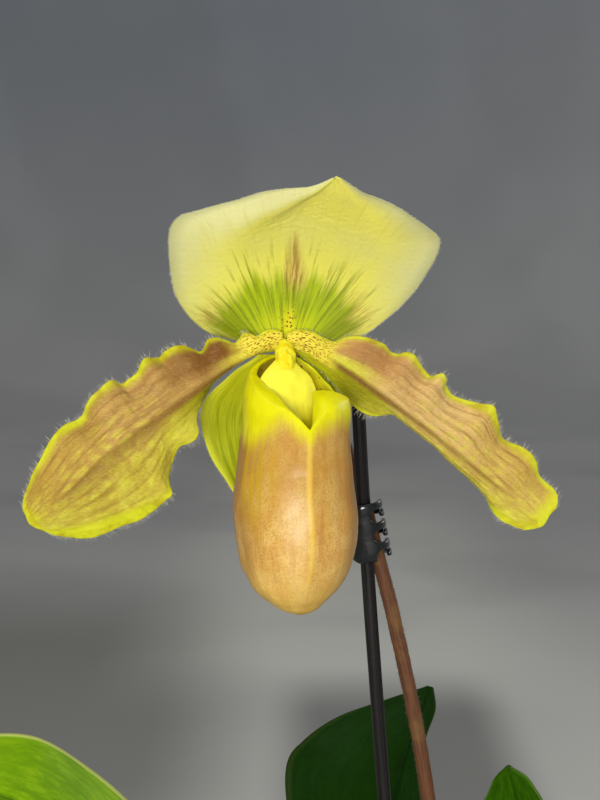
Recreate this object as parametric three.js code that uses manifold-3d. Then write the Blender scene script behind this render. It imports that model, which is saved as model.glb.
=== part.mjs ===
// A slipper orchid (Paphiopedilum) in flower: one bloom on its scape, held to a thin stake
// with a small claw clip, over a fan of leaves in a pot of bark.
// Millimetres, +Z up, the flower faces -Y. The origin is the centre of the pot's underside.
import * as THREE from 'three';
import { mergeVertices } from 'three/addons/utils/BufferGeometryUtils.js';
import Module from 'manifold-3d';

const wasm = await Module();
wasm.setup();

// ---- driving dimensions ----------------------------------------------------------------
const GAP = 0.3; // clearance between pieces that touch
const CUT = 0.6; // how far a neighbour is grown before it is cut away
const FLOWER_CENTRE = [-42, -45, 300];
const FLOWER_YAW = THREE.MathUtils.degToRad(15);
const PETAL_THICKNESS = 1.0;
const SEPAL_THICKNESS = 1.0;
const POUCH_WALL = 0.9;
const LEAF_THICKNESS = 1.4;
const STAKE_RADIUS = 1.5;
const SCAPE_RADIUS = 1.6;
const POT = { height: 95, base: 41, top: 55.5, rim: 58.5, rimHeight: 10, wall: 1.6, floor: 2.2 };
const DRAIN_HOLES = { count: 6, radius: 4, circle: 27 };
const BARK_LEVEL = 86;
const CLIP = { height: 13, halfWidth: 3.6, halfDepth: 4.2, wall: 1.05, lean: THREE.MathUtils.degToRad(11) };

// ---- small maths -----------------------------------------------------------------------
const vec = (p) => new THREE.Vector3(p[0], p[1], p[2]);

/** Slope of keys at i by the unevenly spaced central difference; ends are one-sided. */
function slopeAt(keys, i, value) {
  const last = keys.length - 1;
  if (i === 0 || i === last) {
    const a = i === 0 ? 0 : last - 1;
    return (value(a + 1) - value(a)) / (keys[a + 1][0] - keys[a][0]);
  }
  const before = keys[i][0] - keys[i - 1][0];
  const after = keys[i + 1][0] - keys[i][0];
  const rise = before * before * (value(i + 1) - value(i)) + after * after * (value(i) - value(i - 1));
  return rise / (before * after * (before + after));
}

/** Cubic through keys [[t, number], ...]. `value` picks the number out of a key. */
function cubic(keys, t, value) {
  const last = keys.length - 1;
  const x = THREE.MathUtils.clamp(t, keys[0][0], keys[last][0]);
  let i = 0;
  while (i < last - 1 && x >= keys[i + 1][0]) i += 1;
  const h = keys[i + 1][0] - keys[i][0];
  const u = (x - keys[i][0]) / h;
  const a = (2 * u ** 3 - 3 * u ** 2 + 1) * value(i);
  const b = (u ** 3 - 2 * u ** 2 + u) * h * slopeAt(keys, i, value);
  const c = (3 * u ** 2 - 2 * u ** 3) * value(i + 1);
  const d = (u ** 3 - u ** 2) * h * slopeAt(keys, i + 1, value);
  return a + b + c + d;
}

const number = (keys, t) => cubic(keys, t, (i) => keys[i][1]);
const point = (keys, t) => vec([0, 1, 2].map((axis) => cubic(keys, t, (i) => keys[i][1][axis])));

/** A point of the flower's own frame turned to where the flower faces. */
function turned(p) {
  return p.applyAxisAngle(new THREE.Vector3(0, 0, 1), FLOWER_YAW);
}

// ---- closed bodies ---------------------------------------------------------------------
function bodyGeometry(positions, triangles) {
  const geometry = new THREE.BufferGeometry();
  geometry.setAttribute('position', new THREE.Float32BufferAttribute(positions, 3));
  geometry.setIndex(triangles);
  if (signedVolume(geometry) < 0) {
    const flipped = [];
    for (let i = 0; i < triangles.length; i += 3) {
      flipped.push(triangles[i], triangles[i + 2], triangles[i + 1]);
    }
    geometry.setIndex(flipped);
  }
  geometry.computeVertexNormals();
  return geometry;
}

function signedVolume(geometry) {
  const position = geometry.getAttribute('position');
  const index = geometry.getIndex();
  const a = new THREE.Vector3();
  const b = new THREE.Vector3();
  const c = new THREE.Vector3();
  let sum = 0;
  for (let i = 0; i < index.count; i += 3) {
    a.fromBufferAttribute(position, index.getX(i));
    b.fromBufferAttribute(position, index.getX(i + 1));
    c.fromBufferAttribute(position, index.getX(i + 2));
    sum += a.dot(b.cross(c)) / 6;
  }
  return sum;
}

/** Rings of equal length joined side to side; `caps` closes the first and last ring. */
function skin(rings, caps) {
  const positions = [];
  const triangles = [];
  const around = rings[0].length;
  rings.flat().forEach((p) => positions.push(p.x, p.y, p.z));
  for (let r = 0; r < rings.length - 1; r += 1) {
    for (let k = 0; k < around; k += 1) {
      const a = r * around + k;
      const b = r * around + ((k + 1) % around);
      triangles.push(a, b, b + around, a, b + around, a + around);
    }
  }
  [0, rings.length - 1].forEach((r) => caps(r, r !== 0, rings, positions, triangles));
  return bodyGeometry(positions, triangles);
}

/** Closes a round ring with a fan to its middle. */
function fanCap(r, isLast, rings, positions, triangles) {
  const around = rings[0].length;
  const middle = new THREE.Vector3();
  rings[r].forEach((p) => middle.addScaledVector(p, 1 / around));
  const centre = positions.length / 3;
  positions.push(middle.x, middle.y, middle.z);
  for (let k = 0; k < around; k += 1) {
    const a = r * around + k;
    const b = r * around + ((k + 1) % around);
    triangles.push(...(isLast ? [a, b, centre] : [b, a, centre]));
  }
}

/** Closes the ring of a thin section, front points then back points, with a strip. */
function stripCap(r, isLast, rings, positions, triangles) {
  const around = rings[0].length;
  for (let k = 0; k < around / 2 - 1; k += 1) {
    const a = r * around + k;
    const b = a + 1;
    const c = r * around + around - 2 - k;
    const d = c + 1;
    triangles.push(...(isLast ? [a, b, c, a, c, d] : [a, c, b, a, d, c]));
  }
}

/** Unit normal of surface(s, v) by small steps, the one along s as long as `near`. */
function surfaceNormal(surface, s, v, near) {
  const step = 1e-3;
  const alongA = surface(Math.max(s - near, 0), v);
  const alongB = surface(Math.min(s + near, 1), v);
  const acrossA = surface(s, Math.max(v - step, -1));
  const acrossB = surface(s, Math.min(v + step, 1));
  return alongB.sub(alongA).cross(acrossB.sub(acrossA)).normalize();
}

/** A closed sheet of even thickness about surface(s in 0..1, v in -1..1). */
function sheet(surface, steps, across, thickness, near = 1e-3) {
  const rings = [];
  for (let i = 0; i <= steps; i += 1) {
    const s = i / steps;
    const front = [];
    const back = [];
    for (let k = 0; k <= across; k += 1) {
      const v = -1 + (2 * k) / across;
      const normal = surfaceNormal(surface, s, v, near);
      const p = surface(s, v);
      front.push(p.clone().addScaledVector(normal, thickness / 2));
      back.unshift(p.addScaledVector(normal, -thickness / 2));
    }
    rings.push([...front, ...back]);
  }
  return skin(rings, stripCap);
}

/** A round rod of changing radius(s, angle) along path(s). */
function rod(path, radius, steps, around) {
  const rings = [];
  for (let i = 0; i <= steps; i += 1) {
    const s = i / steps;
    const along = path(Math.min(s + 1e-3, 1)).sub(path(Math.max(s - 1e-3, 0))).normalize();
    const side = new THREE.Vector3(1, 0, 0).addScaledVector(along, -along.x).normalize();
    const up = along.clone().cross(side);
    const ring = [];
    for (let k = 0; k < around; k += 1) {
      const angle = (2 * Math.PI * k) / around;
      const r = radius(s, angle);
      const p = path(s).addScaledVector(side, r * Math.cos(angle));
      ring.push(p.addScaledVector(up, r * Math.sin(angle)));
    }
    rings.push(ring);
  }
  return skin(rings, fanCap);
}

/** A round bar of even radius along a curve. */
function bar(curve, radius, steps, sides) {
  const section = new THREE.Shape();
  for (let k = 0; k < sides; k += 1) {
    const angle = (2 * Math.PI * k) / sides;
    const corner = [radius * Math.cos(angle), radius * Math.sin(angle)];
    if (k === 0) section.moveTo(...corner);
    else section.lineTo(...corner);
  }
  section.closePath();
  const options = { steps, bevelEnabled: false, extrudePath: curve };
  return new THREE.ExtrudeGeometry(section, options);
}

// ---- cutting ---------------------------------------------------------------------------
/** The geometry with only its positions, shared corners merged. */
function welded(geometry) {
  const bare = new THREE.BufferGeometry();
  bare.setAttribute('position', geometry.getAttribute('position').clone());
  if (geometry.getIndex()) bare.setIndex(geometry.getIndex().clone());
  return mergeVertices(bare, 1e-4);
}

function solidOf(geometry) {
  const closed = welded(geometry);
  const vertProperties = new Float32Array(closed.getAttribute('position').array);
  const triVerts = new Uint32Array(closed.getIndex().array);
  return new wasm.Manifold(new wasm.Mesh({ numProp: 3, vertProperties, triVerts }));
}

function geometryOf(solid) {
  const mesh = solid.getMesh();
  const positions = [];
  for (let i = 0; i < mesh.numVert; i += 1) {
    positions.push(...mesh.vertProperties.slice(i * mesh.numProp, i * mesh.numProp + 3));
  }
  return bodyGeometry(positions, Array.from(mesh.triVerts));
}

/** Corner normals, each face weighted by its angle there, so thin edges grow sideways too. */
function cornerNormals(closed) {
  const position = closed.getAttribute('position');
  const index = closed.getIndex().array;
  const normals = Array.from({ length: position.count }, () => new THREE.Vector3());
  for (let i = 0; i < index.length; i += 3) {
    const corners = [0, 1, 2].map((k) => new THREE.Vector3().fromBufferAttribute(position, index[i + k]));
    for (let k = 0; k < 3; k += 1) {
      const first = corners[(k + 1) % 3].clone().sub(corners[k]);
      const second = corners[(k + 2) % 3].clone().sub(corners[k]);
      const angle = first.angleTo(second);
      normals[index[i + k]].addScaledVector(first.cross(second).normalize(), angle);
    }
  }
  return normals.map((normal) => normal.normalize());
}

/** The geometry grown outwards along its corner normals. */
function grown(geometry, distance) {
  const closed = welded(geometry);
  const position = closed.getAttribute('position');
  cornerNormals(closed).forEach((normal, i) => {
    const p = new THREE.Vector3().fromBufferAttribute(position, i).addScaledVector(normal, distance);
    position.setXYZ(i, p.x, p.y, p.z);
  });
  return closed;
}

/** The largest of the separate bodies in a geometry. */
function largestBody(geometry) {
  const index = Array.from(geometry.getIndex().array);
  const parent = Array.from({ length: geometry.getAttribute('position').count }, (_, i) => i);
  const root = (i) => {
    let at = i;
    while (parent[at] !== at) at = parent[at];
    parent[i] = at;
    return at;
  };
  for (let i = 0; i < index.length; i += 3) {
    parent[root(index[i + 1])] = root(index[i]);
    parent[root(index[i + 2])] = root(index[i]);
  }
  const bodies = new Map();
  for (let i = 0; i < index.length; i += 3) {
    const key = root(index[i]);
    if (!bodies.has(key)) bodies.set(key, []);
    bodies.get(key).push(index[i], index[i + 1], index[i + 2]);
  }
  let best = null;
  bodies.forEach((triangles) => {
    const body = geometry.clone();
    body.setIndex(triangles);
    const volume = signedVolume(body);
    if (best === null || volume > best.volume) best = { volume, body };
  });
  const kept = welded(best.body);
  kept.computeVertexNormals();
  return kept;
}

/** The geometry less its neighbours, each grown by the clearance. */
function clearOf(geometry, neighbours) {
  let solid = solidOf(geometry);
  neighbours.forEach((neighbour) => {
    solid = solid.subtract(solidOf(grown(neighbour, CUT)));
  });
  return largestBody(geometryOf(solid));
}

/** Each shape cleared of `fixed` and of the shapes before it, under the same names. */
function clearedInOrder(shapes, fixed) {
  const cleared = {};
  const taken = [...fixed];
  Object.entries(shapes).forEach(([name, geometry]) => {
    cleared[name] = clearOf(geometry, taken);
    taken.push(geometry);
  });
  return cleared;
}

function joined(first, ...rest) {
  let solid = solidOf(first);
  rest.forEach((geometry) => {
    solid = solid.add(solidOf(geometry));
  });
  return geometryOf(solid);
}

function without(geometry, cutters) {
  let solid = solidOf(geometry);
  cutters.forEach((cutter) => {
    solid = solid.subtract(solidOf(cutter));
  });
  return geometryOf(solid);
}

// ---- blades: synsepal, staminode, bract and leaves -------------------------------------
// A blade has a midrib, the way its face looks, and for each half [first, second] its
// width, the angle it leaves the midrib at (crease) and how much it bends outwards (curl).
function half(spec, name, s, v) {
  return number(spec[name][v >= 0 ? 0 : 1], s);
}

function bladePoint(spec, s, v) {
  const along = point(spec.midrib, Math.min(s + 1e-3, 1)).sub(point(spec.midrib, Math.max(s - 1e-3, 0)));
  along.normalize();
  const face = point(spec.face, s);
  face.addScaledVector(along, -face.dot(along)).normalize();
  const side = along.clone().cross(face).multiplyScalar(spec.hand);
  const reach = Math.abs(v);
  const sign = Math.sign(v);
  const crease = THREE.MathUtils.degToRad(half(spec, 'crease', s, v));
  const curl = THREE.MathUtils.degToRad(half(spec, 'curl', s, v));
  let out = 0;
  let back = 0;
  const parts = 12;
  for (let i = 0; i < parts; i += 1) {
    const turn = crease + (curl * reach * (i + 0.5)) / parts;
    out += Math.cos(turn) / parts;
    back += Math.sin(turn) / parts;
  }
  const width = half(spec, 'width', s, v) * reach;
  const p = point(spec.midrib, s);
  p.addScaledVector(side, out * width * sign);
  p.addScaledVector(face, -back * width);
  return p;
}

const NONE = [[0, 0], [1, 0]];
const flat = (value) => [[0, value], [1, value]];
const both = (keys) => [keys, keys];

const SYNSEPAL = {
  hand: -1,
  midrib: [[0, [-0.8, 4.5, -3.5]], [0.3, [-2.2, 7, -13]], [0.6, [-3.6, 8, -23]],
    [0.85, [-4.4, 6.5, -32]], [1, [-4.8, 5, -37]]],
  face: [[0, [0.2, -1, 0]], [1, [0.25, -1, 0.1]]],
  width: [
    [[0, 7.5], [0.15, 14], [0.35, 16.6], [0.55, 14.8], [0.8, 9.6], [0.95, 4.4], [1, 0.5]],
    [[0, 5], [0.15, 10.8], [0.35, 15.6], [0.55, 14.8], [0.8, 9.6], [0.95, 4], [1, 0.5]]],
  crease: both(NONE),
  curl: both(flat(-20)),
};

const STAMINODE = {
  hand: -1,
  midrib: [[0, [-0.8, -3.5, -4]], [0.3, [-1.2, -7, -7]], [0.65, [-1, -9.8, -12.5]],
    [1, [0.8, -11.6, -18]]],
  face: [[0, [0, -1, 0.6]], [1, [0, -1, 0.15]]],
  width: both([[0, 1.6], [0.1, 3], [0.25, 5.2], [0.45, 6.6], [0.6, 6.6], [0.78, 5.2], [0.92, 3],
    [1, 0.4]]),
  crease: both(NONE),
  curl: both([[0, 25], [1, 40]]),
};

const BRACT = {
  hand: -1,
  midrib: [[0, [10.4, 26.2, -15.5]], [0.3, [11, 27.4, -10]], [0.65, [10.4, 27.2, -3]], [1, [8.6, 25.6, 4]]],
  face: [[0, [-0.2, -1, 0.2]], [1, [-0.2, -1, -0.3]]],
  width: both([[0, 4], [0.2, 6.4], [0.45, 7.4], [0.7, 5.6], [0.9, 2.6], [1, 0.3]]),
  crease: both([[0, -25], [1, -10]]),
  curl: both([[0, -105], [0.5, -80], [1, -30]]),
};

// ---- petals and dorsal sepal: sheets through rails ---------------------------------------
// A rail is a curve along the blade. The sheet passes through its rails in turn, from the
// one margin at -1 over the midrib at 0 to the other at 1.
const FRILL_SPAN = 0.1; // share of the length over which a margin's frill is evened out
const BELLY = 0.35; // how far the sheet swells forward between the midrib and the upper margin
const railOf = (keys) => (s) => point(keys, s);

/** The margin's point at s without its frill. */
function evenPoint(keys, s) {
  const taps = 10;
  const sum = new THREE.Vector3();
  let weights = 0;
  for (let i = 1; i < taps; i += 1) {
    const weight = Math.sin((Math.PI * i) / taps) ** 2;
    sum.addScaledVector(point(keys, s + FRILL_SPAN * (i / taps - 0.5)), weight);
    weights += weight;
  }
  return sum.divideScalar(weights);
}

function railPoint(rails, s, v) {
  return point(rails.map(([across, rail]) => [across, rail(s).toArray()]), v);
}

/** A petal's rails: its frilled margins, the fold of its lower half, midrib and upper belly. */
function petalRails(spec) {
  const belly = (s) => {
    const middle = point(spec.midrib, s).add(evenPoint(spec.upper, s)).multiplyScalar(0.5);
    return middle.add(new THREE.Vector3(0, -BELLY, 0.1 * BELLY));
  };
  return [[-1, railOf(spec.lower)], [-0.5, railOf(spec.inner)], [0, railOf(spec.midrib)],
    [0.5, belly], [1, railOf(spec.upper)]];
}

const PETAL_LEFT = {
  midrib: [
    [0, [-0.2, -0.2, -0.5]], [0.05, [-3, -1.5, -1.2]], [0.17, [-9, -4, -4]], [0.34, [-17.5, -9, -9.4]],
    [0.52, [-26.5, -14, -15.8]], [0.7, [-35.5, -18.5, -22.6]], [0.86, [-43.5, -20, -29.8]],
    [1, [-50.3, -18.3, -35]]],
  upper: [
    [0, [-0.2, 0.3, 1.4]], [0.012, [-0.8, 0.2, 1.8]], [0.03, [-2.5, -0.2, 2.1]],
    [0.05, [-4.1, -0.8, 1.8]], [0.072, [-5.7, -1.4, 0.9]], [0.09, [-7.1, -2.4, 1.6]],
    [0.109, [-8.3, -2.7, 1.6]], [0.129, [-9, -2.4, 0.6]], [0.16, [-10.4, -1.8, -0.7]],
    [0.18, [-12.2, -3.3, 0.2]], [0.203, [-14.2, -4.7, 0.8]], [0.225, [-15.6, -4.5, 0.3]],
    [0.245, [-16.2, -4.1, -1.1]], [0.269, [-17.5, -4.1, -2.2]], [0.282, [-19, -5.5, -1.2]],
    [0.295, [-20.2, -6.4, -0.6]], [0.319, [-22.1, -7.8, -0.7]], [0.35, [-23.9, -7.3, -1.7]],
    [0.377, [-25.2, -6.4, -3.1]], [0.41, [-27.7, -9.7, -2.9]], [0.436, [-28.8, -9.7, -4.3]],
    [0.455, [-29.3, -9.2, -5.6]], [0.49, [-31.3, -9.7, -7.2]], [0.515, [-32.8, -10, -8.1]],
    [0.533, [-34.2, -11.9, -7.1]], [0.552, [-35.3, -13.5, -7.6]], [0.581, [-36.6, -14.3, -8.9]],
    [0.616, [-38.3, -14.7, -10.5]], [0.638, [-39.2, -14.3, -12.1]], [0.659, [-39.9, -13.6, -13.8]],
    [0.681, [-41, -14.3, -14.9]], [0.709, [-43, -15.8, -15.5]], [0.734, [-44.4, -17.2, -16.6]],
    [0.77, [-45.9, -18.3, -18.6]], [0.84, [-48, -18.8, -22.7]], [0.905, [-49.8, -18, -26.2]],
    [0.96, [-51.3, -17.2, -29.9]], [1, [-51.7, -17.3, -32.4]]],
  lower: [
    [0, [-0.2, 0.8, -2]], [0.1, [-6.6, 1, -3]], [0.2, [-11.2, 0, -5.6]], [0.28, [-14.4, -2.6, -8.6]],
    [0.33, [-16.2, -5.8, -11.2]], [0.362, [-16.9, -8, -12.8]], [0.385, [-17.5, -9, -14.3]],
    [0.401, [-17.5, -10.5, -15.8]], [0.415, [-17, -11.4, -17.3]], [0.435, [-17.4, -11.6, -18.9]],
    [0.457, [-18.8, -11.5, -19.9]], [0.481, [-20.4, -11, -20.3]], [0.523, [-22.1, -10.4, -22.9]],
    [0.555, [-22.9, -11.1, -25.7]], [0.58, [-23, -12.7, -28]], [0.6, [-22.3, -13.5, -29.9]],
    [0.625, [-23.5, -13.6, -31.1]], [0.677, [-26, -13.7, -33.2]], [0.744, [-29, -15.7, -35]],
    [0.788, [-32.2, -15.3, -36.1]], [0.829, [-35.2, -17.1, -37.2]], [0.858, [-37.8, -16.9, -38]],
    [0.898, [-41.6, -16.7, -38.2]], [0.94, [-44.7, -17.3, -37.7]], [1, [-47.6, -18, -36.5]]],
  inner: [
    [0, [-0.2, 0.2, -1.5]], [0.1, [-6.6, -1.4, -2.8]], [0.2, [-11.6, -3.6, -5.4]],
    [0.3, [-15.6, -6, -9]], [0.37, [-17.6, -8.6, -12.6]], [0.43, [-20.3, -10.6, -16]],
    [0.5, [-23.3, -12.3, -19]], [0.6, [-26.6, -14.8, -25]], [0.7, [-31.4, -16.4, -29]],
    [0.8, [-37.2, -17.8, -32.2]], [0.9, [-44, -18.4, -35]], [1, [-49.2, -18.2, -35.8]]],
};

const PETAL_RIGHT = {
  midrib: [
    [0, [0.4, 0, -0.6]], [0.05, [4.4, 0.3, -1.6]], [0.17, [10.4, 1, -4.6]], [0.34, [19.5, 2.6, -11]],
    [0.52, [29, 4.6, -18.3]], [0.7, [38, 5.2, -25.6]], [0.86, [46.2, 5.2, -32.4]],
    [1, [54.6, 4.2, -39.3]]],
  upper: [
    [0, [0.2, 0.5, 1.3]], [0.02, [2.1, 0.5, 2]], [0.045, [3.9, 0.6, 2]], [0.065, [5.6, 0.9, 1.8]],
    [0.09, [7.6, 1.6, 0.7]], [0.119, [9.5, 2.3, -0.4]], [0.144, [11, 2.8, -0.6]],
    [0.165, [12.8, 1.6, 0.5]], [0.189, [15.1, 1.3, 0.7]], [0.222, [17.6, 1.8, 0.3]],
    [0.247, [19.4, 2.7, -0.4]], [0.271, [21, 4.1, -1.3]], [0.293, [22, 5.1, -2.7]],
    [0.315, [23.4, 5.6, -3.3]], [0.341, [25.6, 4, -2.8]], [0.365, [27.1, 3.8, -3.4]],
    [0.388, [28.1, 4.8, -4.9]], [0.416, [29.3, 6.4, -6.8]], [0.438, [30.8, 7.1, -8.1]],
    [0.453, [31.7, 4.8, -7.5]], [0.468, [33.1, 3.8, -7.2]], [0.483, [33.8, 4.4, -8.3]],
    [0.5, [33.9, 6.6, -9.7]], [0.528, [35.2, 8, -11.8]], [0.567, [37.5, 8.7, -13.2]],
    [0.603, [40, 8.2, -13.7]], [0.632, [42, 6.8, -14]], [0.66, [44, 6.2, -14.3]],
    [0.682, [44.5, 6.6, -15.9]], [0.713, [45.3, 7.7, -18.5]], [0.742, [46.1, 8.9, -21]],
    [0.775, [47.7, 8.4, -22.2]], [0.816, [50, 6.3, -23]], [0.855, [52.1, 5.7, -24.6]],
    [0.882, [53, 6.2, -26.4]], [0.91, [53.7, 7.3, -29.1]], [0.936, [55.4, 7.5, -30.7]],
    [0.964, [56.8, 5.6, -31.9]], [0.985, [57.5, 4.3, -33.6]], [1, [57.1, 4.1, -35.8]]],
  lower: [
    [0, [1.2, 0.8, -2.2]], [0.05, [4.4, 1.6, -4]], [0.1, [6.8, 2.4, -5.8]], [0.16, [9.1, 3, -8]],
    [0.2, [10.6, 3.4, -9.6]], [0.26, [12.7, 3.8, -12]], [0.301, [14.4, 3.8, -14]],
    [0.341, [16.6, 2.7, -15.5]], [0.373, [18.7, 2.9, -16.1]], [0.405, [21.2, 4.2, -16]],
    [0.44, [23.5, 7, -15.6]], [0.5, [26.2, 9.6, -17.6]], [0.6, [31, 11, -22]],
    [0.7, [35.6, 11.4, -26.4]], [0.8, [39.8, 10.4, -30.6]], [0.86, [42.4, 8.6, -33.6]],
    [0.9, [44.2, 6.6, -37]], [0.94, [45.9, 5.6, -38.7]], [0.97, [48, 5, -39.6]], [1, [50.6, 4.6, -40.5]]],
  inner: [
    [0, [0.8, 0.4, -1.4]], [0.05, [4.3, 0.9, -2.8]], [0.1, [6.4, 1.4, -4.2]], [0.2, [11, 2.4, -7.9]],
    [0.3, [16, 3.2, -11.6]], [0.36, [19.4, 3.8, -13.8]], [0.42, [22.8, 4.9, -15.6]],
    [0.5, [26.6, 5.6, -18.6]], [0.585, [30.8, 6.2, -22]], [0.685, [35.1, 6.4, -25.9]],
    [0.785, [39.6, 6.4, -29.9]], [0.86, [43, 6.2, -33.4]], [0.92, [46.8, 5.4, -36.6]],
    [1, [52.8, 4.4, -40.1]]],
};

const DORSAL_SEPAL = [
  [-1, railOf([
    [0, [-10.2, 4, -0.5]], [0.08, [-13.5, 3.6, 0.4]], [0.16, [-16.4, 3, 1.9]],
    [0.25, [-19.6, 2.4, 4.8]], [0.34, [-22.3, 1.8, 9]], [0.42, [-23.2, 1.2, 12.9]],
    [0.5, [-23.6, 1, 17.4]], [0.57, [-23.6, 1.2, 21.5]], [0.63, [-22.8, 1.6, 23.9]],
    [0.68, [-21.3, 1.6, 25.4]], [0.75, [-18.1, 1, 26.4]], [0.8, [-14.1, 0.2, 27.5]],
    [0.86, [-9.1, -1, 28.8]], [0.9, [-4.6, -2.6, 30.2]], [0.94, [0.3, -4.6, 30.9]],
    [0.975, [6.3, -7, 31.4]], [1, [9.9, -9, 32.8]]])],
  [-0.6, railOf([
    [0, [-4.6, 3.6, -0.3]], [0.25, [-10.4, 2.6, 5.6]], [0.5, [-13.1, 1.6, 16.4]],
    [0.68, [-10.6, 0.4, 21.8]], [0.8, [-5.6, -1.6, 25]], [0.9, [1.3, -4.6, 28.3]],
    [0.96, [6.3, -7.4, 30.4]], [1, [10.3, -9.3, 32.9]]])],
  [0, railOf([
    [0, [0.4, 3, 0.2]], [0.25, [1.4, 4.4, 10.1]], [0.5, [2.7, 3.6, 19.2]], [0.7, [3.9, 0.6, 25.4]],
    [0.86, [6.9, -4.2, 29.4]], [0.95, [9.3, -7.6, 31.8]], [1, [10.6, -9.4, 33.2]]])],
  [0.5, railOf([
    [0, [6.4, 3.6, 0]], [0.25, [12.8, 4, 7]], [0.5, [17.3, 2.4, 15.5]], [0.7, [18.8, -0.4, 21.7]],
    [0.85, [16.2, -4, 26.4]], [0.95, [12.9, -7.4, 30.4]], [1, [10.8, -9.4, 33.1]]])],
  [1, railOf([
    [0, [12.7, 4, -0.5]], [0.08, [15.8, 3.6, 0.5]], [0.16, [18, 3, 1.7]], [0.25, [21.3, 2.4, 4.4]],
    [0.36, [24.5, 1.6, 7.3]], [0.46, [27.3, 0.8, 10.6]], [0.55, [29.3, 0.2, 13.8]],
    [0.63, [31.3, -0.2, 17.4]], [0.69, [31.9, -0.4, 20.3]], [0.73, [31.2, -0.8, 21.5]],
    [0.78, [29.1, -1.6, 23.2]], [0.83, [26.2, -2.6, 25.2]], [0.87, [22.9, -3.8, 27.3]],
    [0.91, [19.6, -5.2, 28.7]], [0.94, [16.3, -6.8, 29.8]], [0.97, [14.1, -8, 31.2]],
    [1, [11.4, -9.3, 33]]])],
];

const railSheet = (rails, steps, across, thickness) => (
  sheet((s, v) => railPoint(rails, s, v), steps, across, thickness, 0.5 / steps)
);
const petal = (spec) => railSheet(petalRails(spec), 40, 8, PETAL_THICKNESS);

// ---- pouch -----------------------------------------------------------------------------
// In the flower's own frame: for each depth below the centre, half width, sideways shift,
// front and back of the wall. The rim's depth and the ears' length go by the angle from
// the front, in degrees. Each ear leans inwards at the rim and bends on from there.
const POUCH_DEPTH = 54.2;
const POUCH_HALF = [[2.4, 4], [4, 6.6], [6, 8.6], [9, 10.2], [12, 10.8], [16, 11], [20, 11.4],
  [25, 11.6], [30, 12.2], [35, 12.5], [40, 12], [44.5, 11], [48, 9], [51, 6], [53.2, 2.9],
  [54.2, 0.05]];
const POUCH_SIDE = [[2, 0.2], [12, 0], [18, -0.4], [25, -0.9], [30, -1.4], [35, -1.2], [45, -1.4],
  [50, -1.7], [54.2, -0.9]];
const POUCH_FRONT = [[2.4, -6], [6, -13], [9, -18], [12, -20.5], [16, -22.2], [20, -23.6],
  [25, -24.8], [30, -26], [35, -26.6], [40, -26.4], [44.5, -25.4], [48, -24], [51, -21.8],
  [53.2, -18.8], [54.2, -15.6]];
const POUCH_BACK = [[2.4, 2], [6, 2], [9, 1.4], [12, 0.6], [16, -0.2], [20, -0.6], [25, -0.8],
  [30, -1], [35, -1.4], [40, -2.6], [44.5, -4.6], [48, -7], [51, -9.4], [53.2, -12.4],
  [54.2, -15.5]];
const POUCH_RIM = [[-180, 3.6], [-150, 3.6], [-130, 4.2], [-110, 5.2], [-90, 6.5], [-70, 8],
  [-56, 10.1], [-42, 11.5], [-22, 12.9], [-10, 14.6], [-3.5, 15.8], [-1, 16.3], [3, 15.8],
  [10, 14.8], [21, 13], [33, 12.3], [50, 11.7], [70, 11.6], [95, 11.8], [114, 11], [126, 8.6],
  [136, 6], [147, 4.3], [158, 3.7], [180, 3.6]];
const POUCH_EAR = [[-180, 0.7], [-110, 1.4], [-85, 2.4], [-68, 4], [-56, 5.6], [-44, 6.4],
  [-34, 5], [-26, 2.4], [-14, 1], [-1, 0.5], [4, 1.8], [8, 4], [13, 6], [20, 7.8], [29, 8.8],
  [38, 8.8], [50, 7.4], [64, 4.8], [80, 2.4], [98, 1.2], [130, 0.9], [180, 0.7]];
const EAR_LEAN = THREE.MathUtils.degToRad(4);
const EAR_BEND = THREE.MathUtils.degToRad(28);

function pouchWall(angle, depth) {
  const front = number(POUCH_FRONT, depth);
  const back = number(POUCH_BACK, depth);
  const x = number(POUCH_SIDE, depth) + number(POUCH_HALF, depth) * Math.sin(angle);
  const y = (front + back) / 2 - ((back - front) / 2) * Math.cos(angle);
  return new THREE.Vector3(x, y, -depth);
}

/** The ear: the wall's continuation above the rim, curling inwards. */
function pouchEar(angle, reach) {
  const degrees = THREE.MathUtils.radToDeg(angle);
  const depth = number(POUCH_RIM, degrees);
  const rim = pouchWall(angle, depth);
  const up = rim.clone().sub(pouchWall(angle, depth + 0.5)).normalize();
  const inward = new THREE.Vector3(-Math.sin(angle), Math.cos(angle) * 0.8 + 0.5, 0).normalize();
  inward.addScaledVector(up, -inward.dot(up)).normalize();
  const length = number(POUCH_EAR, degrees) * reach;
  const parts = 8;
  for (let i = 0; i < parts; i += 1) {
    const turn = EAR_LEAN + (EAR_BEND * reach * (i + 0.5)) / parts;
    rim.addScaledVector(up, (length * Math.cos(turn)) / parts);
    rim.addScaledVector(inward, (length * Math.sin(turn)) / parts);
  }
  return rim;
}

/** angle -pi..pi from the front; t 0 at the tip, 1 at the rim, above 1 in the ear. */
function pouchPoint(angle, t) {
  if (t > 1) return pouchEar(angle, t - 1);
  const rim = number(POUCH_RIM, THREE.MathUtils.radToDeg(angle));
  return pouchWall(angle, POUCH_DEPTH - (POUCH_DEPTH - rim) * t ** 1.5);
}

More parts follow.
